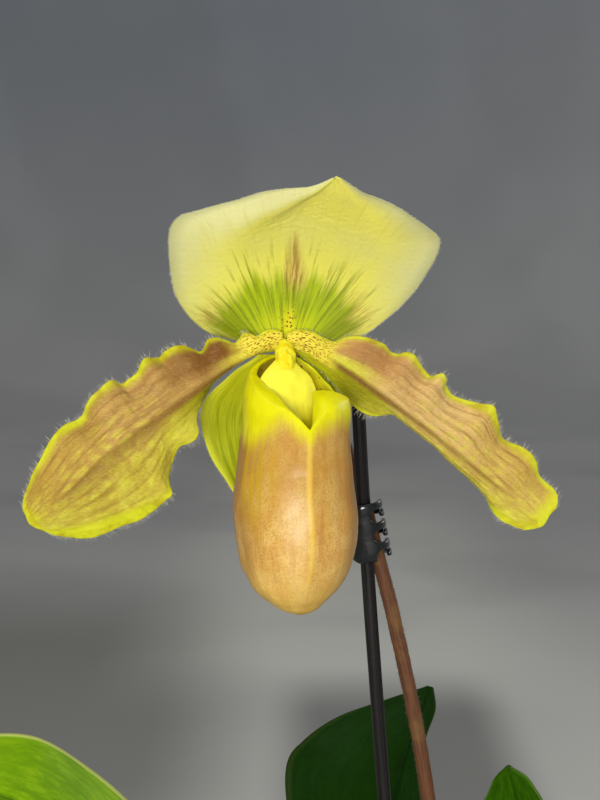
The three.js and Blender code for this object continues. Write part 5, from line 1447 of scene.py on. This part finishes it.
def make_clip():
    plastic = paint_clip()
    for name, jaw in JAWS.items():
        body = JAW if name == "clip_jaw_front" else PLANT
        piece = make_piece(name, jaw_shape(**jaw), plastic, body, (name,))
        with_modifiers(
            piece,
            ("REMESH", {"mode": "VOXEL", "voxel_size": CLIP_VOXEL * MM}),
            ("SMOOTH", {"factor": 0.5, "iterations": 3}),
        )
    steel = paint_steel()
    make_piece("clip_pin", pin_shape(), steel, replaces=("clip_pin",))
    make_piece("clip_spring", spring_shape(), steel, replaces=("clip_spring",))


def pin_shape():
    """The hinge's pin with a domed head at each end."""
    turns = np.linspace(0, math.pi / 2, 8)
    top = PIN_HALF_LENGTH + PIN_DOME
    dome = [(PIN_HEAD_RADIUS * math.cos(a), top + PIN_DOME * math.sin(a)) for a in turns]
    half = [(PIN_RADIUS, 0), (PIN_RADIUS, PIN_HALF_LENGTH), (PIN_HEAD_RADIUS, PIN_HALF_LENGTH + 0.05)]
    half += dome
    profile = [(r, -z) for r, z in half[::-1]] + half[1:]
    pin = lathe(Shape(), profile, 40, (HINGE_X, 0, 0))
    return Shape().add(clip_to_plant(pin.points[0]), pin.faces, pin.where[0])


def spring_shape():
    """Three turns about the pin and a straight leg at each end."""
    angle = np.linspace(0, 2 * math.pi * SPRING_TURNS, 150)
    rise = SPRING_HALF_LENGTH * (2 * angle / angle[-1] - 1)
    coil = np.stack([HINGE_X + SPRING_RADIUS * np.cos(angle), SPRING_RADIUS * np.sin(angle), rise], -1)
    leg = np.linspace(0.15, 1.8, 12)[:, None]
    before = coil[0] - leg[::-1] * np.array([0.15, 0.55, 0.0])
    after = coil[-1] + leg * np.array([-0.15, 0.55, 0.0])
    path = np.concatenate([before, coil, after])
    return rod(Shape(), clip_to_plant(path), SPRING_WIRE, 12, 1.0)


# ---- leaves --------------------------------------------------------------------------------
LEAF_FOOT = [(0, 6.5), (0.1, 8.5)]
LEAF_WIDTH = LEAF_FOOT + [(0.3, 16), (0.55, 20.5), (0.8, 19), (0.93, 12), (1, 1)]
LEAF_CREASE = [(0, -62), (0.2, -45), (0.5, -26), (1, -8)]
LEAF_CURL = [(0, 0), (0.4, 14), (1, 10)]


def leaf_spec(midrib, face, widths=LEAF_WIDTH):
    return {
        "hand": 1,
        "midrib": midrib,
        "face": face,
        "width": widths,
        "crease": LEAF_CREASE,
        "curl": LEAF_CURL,
    }


SMALL_LEAF = LEAF_FOOT + [(0.3, 14), (0.55, 17), (0.8, 15.5), (0.93, 10), (1, 1)]
LEAVES = {
    "leaf_1": leaf_spec(
        [(0, 0, 5, 97), (0.2, -5, 14, 122), (0.4, -11.3, 24, 144.2), (0.6, -15.3, 35, 163.5),
         (0.8, -12, 47, 180), (1, -3.6, 60, 198.6)],
        [(0, 0.1, -1, 0.2), (0.5, 0.05, -1, 0.4), (1, -0.3, -0.9, 0.6)],
        (LEAF_FOOT + [(0.3, 15), (0.6, 12.6), (0.8, 4.8), (0.9, 3.8), (0.96, 3.4), (1, 1)],
         LEAF_FOOT + [(0.3, 16), (0.6, 26), (0.8, 27.5), (0.9, 16), (0.96, 7.5), (1, 1)])),
    "leaf_2": leaf_spec(
        [(0, 5, 0, 96), (0.25, 14, -4, 122), (0.5, 20, -10, 152), (0.75, 13.8, -15, 181.6),
         (1, 8.3, -19, 201.6)],
        [(0, -0.9, -0.2, 0.3), (0.5, -0.7, -0.6, 0.3), (1, -0.4, -0.9, 0.3)],
        (LEAF_FOOT + [(0.3, 15), (0.55, 16.5), (0.8, 8), (0.93, 5.2), (0.975, 3.4), (1, 0.7)],
         LEAF_FOOT + [(0.3, 15), (0.55, 17.5), (0.8, 12.8), (0.93, 6), (0.975, 3.4), (1, 0.7)])),
    "leaf_3": leaf_spec(
        [(0, -6, -1, 94), (0.25, -32, -8, 122), (0.5, -65, -16, 155.5), (0.75, -97.5, -25, 192.6),
         (1, -122, -33, 201.9)],
        [(0, 0.9, -0.1, 0.5), (0.5, 0.4, -0.35, 1), (1, 0.1, -0.5, 1)]),
    "leaf_4": leaf_spec(
        [(0, 8, 2, 92), (0.25, 34, 9, 116), (0.5, 64, 18, 138), (0.75, 94, 27, 146), (1, 120, 34, 136)],
        [(0, -0.8, -0.1, 0.6), (0.5, -0.3, -0.1, 1), (1, 0.3, -0.1, 1)]),
    "leaf_5": leaf_spec(
        [(0, -9, 3, 91), (0.25, -36, 22, 108), (0.5, -62, 42, 124), (0.75, -86, 60, 128),
         (1, -104, 74, 116)],
        [(0, 0.7, -0.4, 0.7), (0.5, 0.2, -0.2, 1), (1, -0.4, 0.2, 1)]),
    "leaf_6": leaf_spec(
        [(0, 9, -4, 91), (0.25, 30, -26, 104), (0.5, 50, -46, 115), (0.75, 68, -63, 114),
         (1, 80, -76, 102)],
        [(0, -0.6, 0.5, 0.7), (0.5, -0.2, 0.1, 1), (1, 0.4, -0.3, 1)],
        SMALL_LEAF),
}
LEAF_GRID = (130, 44)
# Per leaf: deep green, light green, how strongly it is netted and how pale its margin is. leaf_1's very
# dark greens and barely pale margin are painted shade.
LEAF_GREENS = {
    "leaf_1": (rgb(8, 32, 0), rgb(16, 48, 0), 0.35, 0.02),
    "leaf_2": (rgb(28, 62, 0), rgb(50, 92, 0), 0.5, 0.1),
    "leaf_3": (rgb(92, 138, 4), rgb(132, 174, 14), 0.7, 0.9),
    "leaf_4": (rgb(78, 118, 20), rgb(112, 148, 40), 0.8, 0.7),
    "leaf_5": (rgb(70, 110, 20), rgb(104, 142, 38), 0.8, 0.7),
    "leaf_6": (rgb(84, 124, 22), rgb(120, 156, 44), 0.8, 0.7),
}


def leaf_shape(spec, seed):
    """A strap leaf: sunken midrib, faint ribs, a keel underneath and a slightly wavy blade."""
    s, v, points, normals, distance = blade_grid(spec, *LEAF_GRID)
    reach = np.abs(v)
    points = pushed(points, normals, 0.55 * ripple(points, 26, seed) * reach * step(s, 0, 0.3))
    groove = hump(distance, 1.1) * step(1 - s, 0.02, 0.2)
    keel = hump(distance, 1.3) * step(1 - s, 0.02, 0.2)
    ribs = 0.05 * np.cos(2 * math.pi * distance / 1.9) * step(1 - reach, 0.05, 0.3)
    half = 0.22 + 0.5 * (1 - reach**4)
    return thick_sheet(points, normals, s, v, half - 0.45 * groove - ribs, half + 0.7 * keel + ribs)


def paint_leaf(name, deep, light, netted, margin):
    """netted: how strongly the deep green nets the light one; margin: how pale the margin is."""
    p = Paint(name)
    s, v, reach = p.s, p.v, abs(p.v)
    flow = p.vector(s * 150, v * 18, p.side * 4)
    cells = p.noise(p.scaled(flow, (0.35, 1, 1)), 2.6, 3, 0.6)
    lines = p.noise(p.scaled(flow, (0.05, 1, 1)), 0.7, 4)
    net = p.fall(p.cells(p.scaled(flow, (0.4, 1, 1)), 1.7, "DISTANCE_TO_EDGE"), 0.0, 0.2)
    grain = p.noise(p.place, 0.6, 3, 0.6)
    cloud = p.noise(p.place, 22, 2)
    p.colour = p.over(light, p.rise(cells, 0.4, 0.62) * netted, deep)
    p.coat(net * netted * 0.45, deep)
    p.coat(p.rise(lines, 0.5, 0.7) * 0.3, deep)
    p.coat(p.rise(cloud, 0.45, 0.7) * 0.4, light)
    p.coat(p.fall(reach, 0.0, 0.06) * 0.5, tinted(deep, 0.55))
    p.coat(p.fall(s, 0.0, 0.22) * 0.6, rgb(150, 166, 84))
    p.coat(p.rise(reach, 0.925, 0.97) * margin, rgb(208, 216, 118))
    under = p.over(light, 0.5 * margin, rgb(150, 168, 96))
    p.coat(p.back, p.over(under, p.rise(lines, 0.45, 0.6) * 0.3, deep))
    height = lines * 0.08 + net * -0.03 + grain * 0.03
    return p.finish(0.34 + 0.16 * cells, height, Specular_IOR_Level=0.06, Subsurface_Weight=0.12,
                    Subsurface_Scale=0.0008, Subsurface_Radius=(0.5, 1.0, 0.2))


def make_leaves():
    for seed, (name, spec) in enumerate(LEAVES.items()):
        material = paint_leaf(name, *LEAF_GREENS[name])
        make_piece(name, leaf_shape(spec, 91 + seed), material, replaces=(name,))


# ---- crown, bark and pot -------------------------------------------------------------------
CROWN_TURNS = (0, 64, 131, 188, 252, 309)
CROWN_CORE = [(0, 74.2), (4.8, 74.6), (5.6, 80), (5.2, 88), (3.6, 94), (0, 95.6)]
CROWN_FOOT = 75
CROWN_TOP = 95.4
SHELL_HALF_TURN = math.radians(62)
SHELL_GRID = (31, 31)


def crown_shape():
    """Clasping leaf bases, each a bent shell with a pointed top, around a short core."""
    shape = Shape()
    lathe(shape, CROWN_CORE, 40)
    for k, turn in enumerate(CROWN_TURNS):
        height, angle = sheet_places(*SHELL_GRID)
        top = CROWN_TOP - 1.1 * (k % 3) - 7 * np.abs(angle) ** 1.8
        z = CROWN_FOOT + (top - CROWN_FOOT) * height
        belly = np.sin(math.pi * np.clip((z - 72) / 30, 0, 1))
        radius = 6.0 + 0.35 * (k % 2) + belly - 0.9 * step(z, 88, 97)
        at = math.radians(turn) + angle * SHELL_HALF_TURN
        points = np.stack([radius * np.cos(at), radius * np.sin(at), z], -1)
        normals = np.stack([np.cos(at), np.sin(at), 0 * at], -1)
        half = 0.2 + 0.3 * (1 - angle**2)
        ribs = 0.06 * np.cos(2 * math.pi * 5 * angle)
        thick_sheet(points, normals, height, angle, half + ribs, half, shape)
    return shape


def paint_crown():
    p = Paint("crown")
    streaks = p.noise(p.vector(p.v * 8, p.s * 2, 0), 0.7, 4)
    grain = p.noise(p.place, 0.6, 3)
    p.colour = p.over(rgb(136, 158, 70), p.rise(streaks, 0.45, 0.62) * 0.6, rgb(98, 124, 44))
    p.coat(p.fall(p.s, 0.1, 0.6) * 0.7, rgb(166, 150, 96))
    p.coat(p.rise(grain, 0.58, 0.7) * 0.4, rgb(104, 76, 44))
    return p.finish(0.45 + 0.15 * grain, streaks * 0.1 + grain * 0.04)


POT_HEIGHT = 95
POT_BASE = 41
POT_TOP = 55.5
POT_RIM = 58.5
POT_RIM_HEIGHT = 10
POT_WALL = 1.6
POT_FLOOR = 2.2
DRAIN_COUNT = 6
DRAIN_RADIUS = 4
DRAIN_CIRCLE = 27
FOOT_ROUND = 1.2
FLOOR_ROUND = 1.5
POT_SLOPE = (POT_TOP - POT_BASE) / POT_HEIGHT
BARK_LEVEL = 86
CHIP_COUNT = 460
CHIP_LENGTH = (6, 13)
CHIP_WIDTH = (4, 8.5)
CHIP_THICKNESS = (1.8, 4)
CROWN_CLEARANCE = 7


def arc(centre, radius, start, end, count=5):
    """Profile points on a round corner; angles in degrees."""
    angles = np.radians(np.linspace(start, end, count))
    return [(centre[0] + radius * math.cos(a), centre[1] + radius * math.sin(a)) for a in angles]


def pot_outer(z):
    """The pot's outer radius at a height."""
    return POT_BASE + POT_SLOPE * z


def make_pot():
    """A thin moulded pot with a stepped, rolled rim and six drain holes."""
    step_z = POT_HEIGHT - POT_RIM_HEIGHT
    profile = [(0, 0), (DRAIN_CIRCLE + 9, 0)]
    profile += arc((pot_outer(FOOT_ROUND) - FOOT_ROUND, FOOT_ROUND), FOOT_ROUND, -90, -5)
    profile += [(pot_outer(z), z) for z in np.linspace(4, step_z - 1, 12)]
    profile += [(pot_outer(step_z - 0.4) + 0.3, step_z - 0.4)]
    profile += arc((POT_RIM - 1.2, step_z + 0.7), 0.7, -90, 0, 4)
    profile += [(POT_RIM - 0.2, POT_HEIGHT - 3)]
    profile += arc((POT_RIM - 0.9, POT_HEIGHT - 0.9), 0.9, 0, 170, 8)
    profile += [(pot_outer(POT_HEIGHT) - POT_WALL + 0.3, POT_HEIGHT - 1.6)]
    profile += [(pot_outer(z) - POT_WALL, z) for z in np.linspace(POT_HEIGHT - 3, 6, 10)]
    profile += arc((pot_outer(4) - POT_WALL - FLOOR_ROUND, POT_FLOOR + FLOOR_ROUND), FLOOR_ROUND, 0, -90)
    profile += [(0, POT_FLOOR)]
    shape = lathe(Shape(), profile, 160)
    pot = make_piece("pot", shape, paint_pot(), replaces=("pot",))
    cutter_shape = Shape()
    for k in range(DRAIN_COUNT):
        angle = 2 * math.pi * k / DRAIN_COUNT
        centre = (DRAIN_CIRCLE * math.cos(angle), DRAIN_CIRCLE * math.sin(angle), 0)
        lathe(cutter_shape, [(0, -3), (DRAIN_RADIUS, -3), (DRAIN_RADIUS, 6), (0, 6)], 32, centre)
    cutter = make_piece("cutter", cutter_shape, pot.data.materials[0])
    with_modifiers(pot, ("BOOLEAN", {"operation": "DIFFERENCE", "object": cutter, "solver": "EXACT"}))
    bpy.data.objects.remove(cutter)


def paint_pot():
    p = Paint("pot_plastic")
    x, y, z = p.split(p.place)
    turn = p.math("ARCTAN2", y, x)
    swirl = p.noise(p.vector(turn * 14, z * 0.5, 0), 2.5, 4)
    grain = p.noise(p.place, 0.7, 4, 0.7)
    dust = p.noise(p.place, 7, 4, 0.65)
    p.colour = p.over(rgb(46, 47, 46), p.rise(swirl, 0.42, 0.62), rgb(56, 57, 55))
    p.coat(p.rise(dust, 0.52, 0.7) * p.rise(z, 40, 95) * 0.35, rgb(120, 116, 106))
    scale = p.fall(abs(z - 86.5 + (dust - 0.5) * 3), 0.0, 1.2) * 0.3
    p.coat(scale, rgb(150, 146, 136))
    rings = p.lines(z * 1.6, 0.2)
    return p.finish(0.42 + 0.25 * grain, grain * 0.05 + rings * 0.012, Specular_IOR_Level=0.45)


def bark_bed(shape):
    """The bed under the chips: it fills the pot and its top is lumpy."""
    def inner(z):
        return pot_outer(z) - POT_WALL - 0.6
    around = 120
    angle = circle(around)
    bottom = POT_FLOOR + 0.3
    rings = []
    for radius, z, bump in (
        [(inner(bottom) * 0.5, bottom, 0), (inner(bottom) - 1, bottom, 0)]
        + [(inner(h), h, 0) for h in np.linspace(bottom + 1.5, BARK_LEVEL - 4, 14)]
        + [(inner(BARK_LEVEL) - 1.5, BARK_LEVEL - 2.6, 0.6)]
        + [(inner(BARK_LEVEL) * part, BARK_LEVEL - 2.2, 1.2) for part in np.linspace(0.92, 0.05, 22)]
    ):
        ring = np.stack([radius * np.cos(angle), radius * np.sin(angle), np.full(around, z)], -1)
        ring[:, 2] += bump * ripple(ring, 7, 121)
        rings.append(ring)
    rings = np.array(rings)
    where = np.stack([np.full(rings.shape[:2], 0.25), rings[..., 0] / 60, rings[..., 1] / 60], -1)
    loft(shape, rings, where)


def chip(shape, size, centre, turn, shade, seed):
    """One bark chip: a rounded, faceted block."""
    polar, around = np.meshgrid(np.linspace(-1.35, 1.35, 6), circle(12), indexing="ij")
    out = signed_power(np.cos(polar), 0.5)
    x = out * signed_power(np.cos(around), 0.5)
    y = out * signed_power(np.sin(around), 0.5)
    points = np.stack([x, y, signed_power(np.sin(polar), 0.5)], -1) * np.array(size) / 2
    points *= 1 + 0.13 * ripple(points, 3.5, seed)[..., None]
    points[..., 2] += 0.14 * ripple(points * [0.25, 1, 1], 0.9, seed + 1)
    placed = points @ turn.T + centre
    where = np.stack([np.full(points.shape[:2], shade), points[..., 0] / 4, points[..., 1] / 1.2], -1)
    loft(shape, placed, where)


def bark_shape():
    rng = np.random.default_rng(5)
    shape = Shape()
    bark_bed(shape)
    limit = pot_outer(BARK_LEVEL) - POT_WALL - 5
    for k in range(CHIP_COUNT):
        radius = CROWN_CLEARANCE + (limit - CROWN_CLEARANCE) * math.sqrt(rng.uniform(0.01, 1))
        angle = rng.uniform(0, 2 * math.pi)
        size = [rng.uniform(*span) for span in (CHIP_LENGTH, CHIP_WIDTH, CHIP_THICKNESS)]
        lift = rng.uniform(-2.6, 0.4) + (1.2 if radius < 14 else 0)
        tilt = Matrix.Rotation(rng.uniform(0, 2 * math.pi), 3, "Z")
        for axis in "XY":
            tilt = tilt @ Matrix.Rotation(rng.normal(0, 0.3), 3, axis)
        centre = (radius * math.cos(angle), radius * math.sin(angle), BARK_LEVEL + lift)
        chip(shape, size, np.array(centre), np.array(tilt), rng.uniform(0.2, 1), 200 + 2 * k)
    return shape


def paint_bark():
    p = Paint("bark")
    flow = p.vector(p.v * 3, p.side * 8, p.s * 30)
    fibres = p.noise(flow, 1.3, 5, 0.7)
    grain = p.noise(p.place, 0.8, 4, 0.75)
    p.colour = p.over(rgb(92, 60, 38), p.rise(p.s, 0.3, 0.95), rgb(146, 100, 62))
    p.coat(p.rise(fibres, 0.45, 0.62) * 0.75, rgb(60, 36, 22))
    p.coat(p.fall(fibres, 0.34, 0.44) * 0.5, rgb(176, 132, 88))
    p.coat(p.rise(grain, 0.55, 0.7) * 0.5, rgb(48, 32, 22))
    return p.finish(0.75 + 0.2 * grain, fibres * 0.5 + grain * 0.25, Specular_IOR_Level=0.2)


def make_base():
    make_piece("crown", crown_shape(), paint_crown(), replaces=("crown",))
    make_piece("bark_mix", bark_shape(), paint_bark(), replaces=("bark_mix",))
    make_pot()


# ---- studio --------------------------------------------------------------------------------
# Places and sizes in metres in the part's frame; the lens and its sensor in millimetres.
VIEW_PLACE = (-0.03871, -0.41426, 0.32640)
VIEW_DROP = math.radians(6)
LENS = 80.92
SENSOR_WIDTH = 36
FLOOR_RADIUS = 2.2
WALL_BEND = 0.8
WALL_TOP = 2.4
BACKDROP_AROUND = 96
LIGHT_AIM = np.array([-0.042, -0.05, 0.28])
# Per light: place, size, power, colour and spread in degrees.
LIGHTS = {
    "key": ((-0.16, -1.25, 0.36), 0.4, 4.4, (1.0, 0.985, 0.96), 110),
    "top": ((-0.2, -0.35, 1.15), 0.7, 2.4, (1.0, 1.0, 1.0), 180),
    "rim": ((0.7, 0.5, 0.7), 0.5, 2.0, (0.97, 0.985, 1.0), 180),
}
WORLD_STRENGTH = 0.3


def make_camera():
    data = bpy.data.cameras.new("camera")
    data.lens = LENS
    data.sensor_width = SENSOR_WIDTH
    data.clip_start = 0.01
    camera = add_object("camera", data)
    camera.location = VIEW_PLACE
    camera.rotation_euler = (math.pi / 2 - VIEW_DROP, 0, 0)
    bpy.context.scene.camera = camera


def make_light(name, place, size, power, colour, spread):
    data = bpy.data.lights.new(name, "AREA")
    data.shape = "DISK"
    data.size = size
    data.energy = power
    data.color = colour
    data.spread = math.radians(spread)
    light = add_object(name, data)
    direction = unit(LIGHT_AIM - np.array(place))
    side = unit(np.cross(direction, (0, 0, 1)))
    up = np.cross(side, direction)
    turn = Matrix(np.column_stack([side, up, -direction]).tolist())
    light.matrix_world = Matrix.Translation(place) @ turn.to_4x4()
    light.visible_camera = False


def paint_backdrop():
    """Pale around the pot, then the grey of a studio backdrop that darkens upwards."""
    p = Paint("backdrop")
    x, y, z = p.split(p.scaled(p.place, (MM, MM, MM)))
    radius = p.math("SQRT", x * x + y * y)
    cloth = p.noise(p.place, 160, 3)
    folds = p.noise(p.scaled(p.place, (1, 1, 0.3)), 420, 2)
    p.colour = p.over(rgb(236, 235, 232), p.rise(radius, 0.24, 0.6), rgb(205, 205, 198))
    p.coat(p.rise(radius, 0.6, 1.6), rgb(176, 177, 176))
    p.coat(p.rise(z, 0.0, 0.7), rgb(150, 155, 162))
    p.coat(p.rise(cloth, 0.4, 0.7) * 0.1, rgb(190, 190, 190))
    p.coat(p.rise(x, -0.2, 0.6) * p.rise(y, 0.4, 1.2) * 0.3, rgb(200, 202, 202))
    shade = p.fall(x, -0.14, -0.04) * p.rise(y, 0.3, 0.6) * p.fall(y, 0.9, 1.3) * 0.75
    p.coat(shade, rgb(110, 110, 106))
    # Painted light: a brighter pool on the floor behind the plant.
    painted_light_pool = p.fall(abs(x), 0.06, 0.2) * p.rise(y, 0.7, 0.9) * p.fall(y, 1.3, 2.0) * 0.5
    p.coat(painted_light_pool, rgb(236, 236, 226))
    # Painted shadow: the back leaf's shadow on the floor behind it.
    painted_leaf_shadow = p.fall(abs(x - 0.022), 0.045, 0.09) * p.fall(abs(y - 0.6), 0.12, 0.26)
    p.coat(painted_leaf_shadow * 0.65, rgb(84, 84, 84))
    p.coat(p.rise(folds, 0.45, 0.6) * p.rise(radius, 0.5, 1) * 0.22, rgb(136, 138, 140))
    return p.finish(0.8 + 0.1 * cloth, Specular_IOR_Level=0.1)


def make_backdrop():
    """A round floor that curves up into a wall."""
    profile = [(0.0, 0.0)] + [(r, 0.0) for r in np.linspace(0.1, FLOOR_RADIUS, 24)]
    for angle in np.linspace(0, math.pi / 2, 24)[1:]:
        out = WALL_BEND * math.sin(angle)
        profile.append((FLOOR_RADIUS + out, WALL_BEND - WALL_BEND * math.cos(angle)))
    profile += [(FLOOR_RADIUS + WALL_BEND, z) for z in np.linspace(WALL_BEND + 0.1, WALL_TOP, 10)]
    points = revolved(profile, BACKDROP_AROUND).reshape(-1, 3)
    faces = grid_faces(len(profile), BACKDROP_AROUND, wrap=True)[:, ::-1].tolist()
    backdrop = add_mesh("backdrop", points, faces, paint_backdrop())
    backdrop.visible_diffuse = False
    backdrop.visible_glossy = False
    backdrop.visible_shadow = False


def make_studio():
    make_backdrop()
    for name, settings in LIGHTS.items():
        make_light(name, *settings)
    world = bpy.data.worlds.new("studio")
    world.use_nodes = True
    background = world.node_tree.nodes["Background"]
    background.inputs["Color"].default_value = (1.0, 1.0, 1.0, 1.0)
    background.inputs["Strength"].default_value = WORLD_STRENGTH
    bpy.context.scene.world = world
    bpy.context.scene.view_settings.view_transform = "Standard"


make_camera()
make_petals()
make_sepals()
make_pouch()
make_flower_middle()
make_stems()
make_clip()
make_leaves()
make_base()
make_studio()
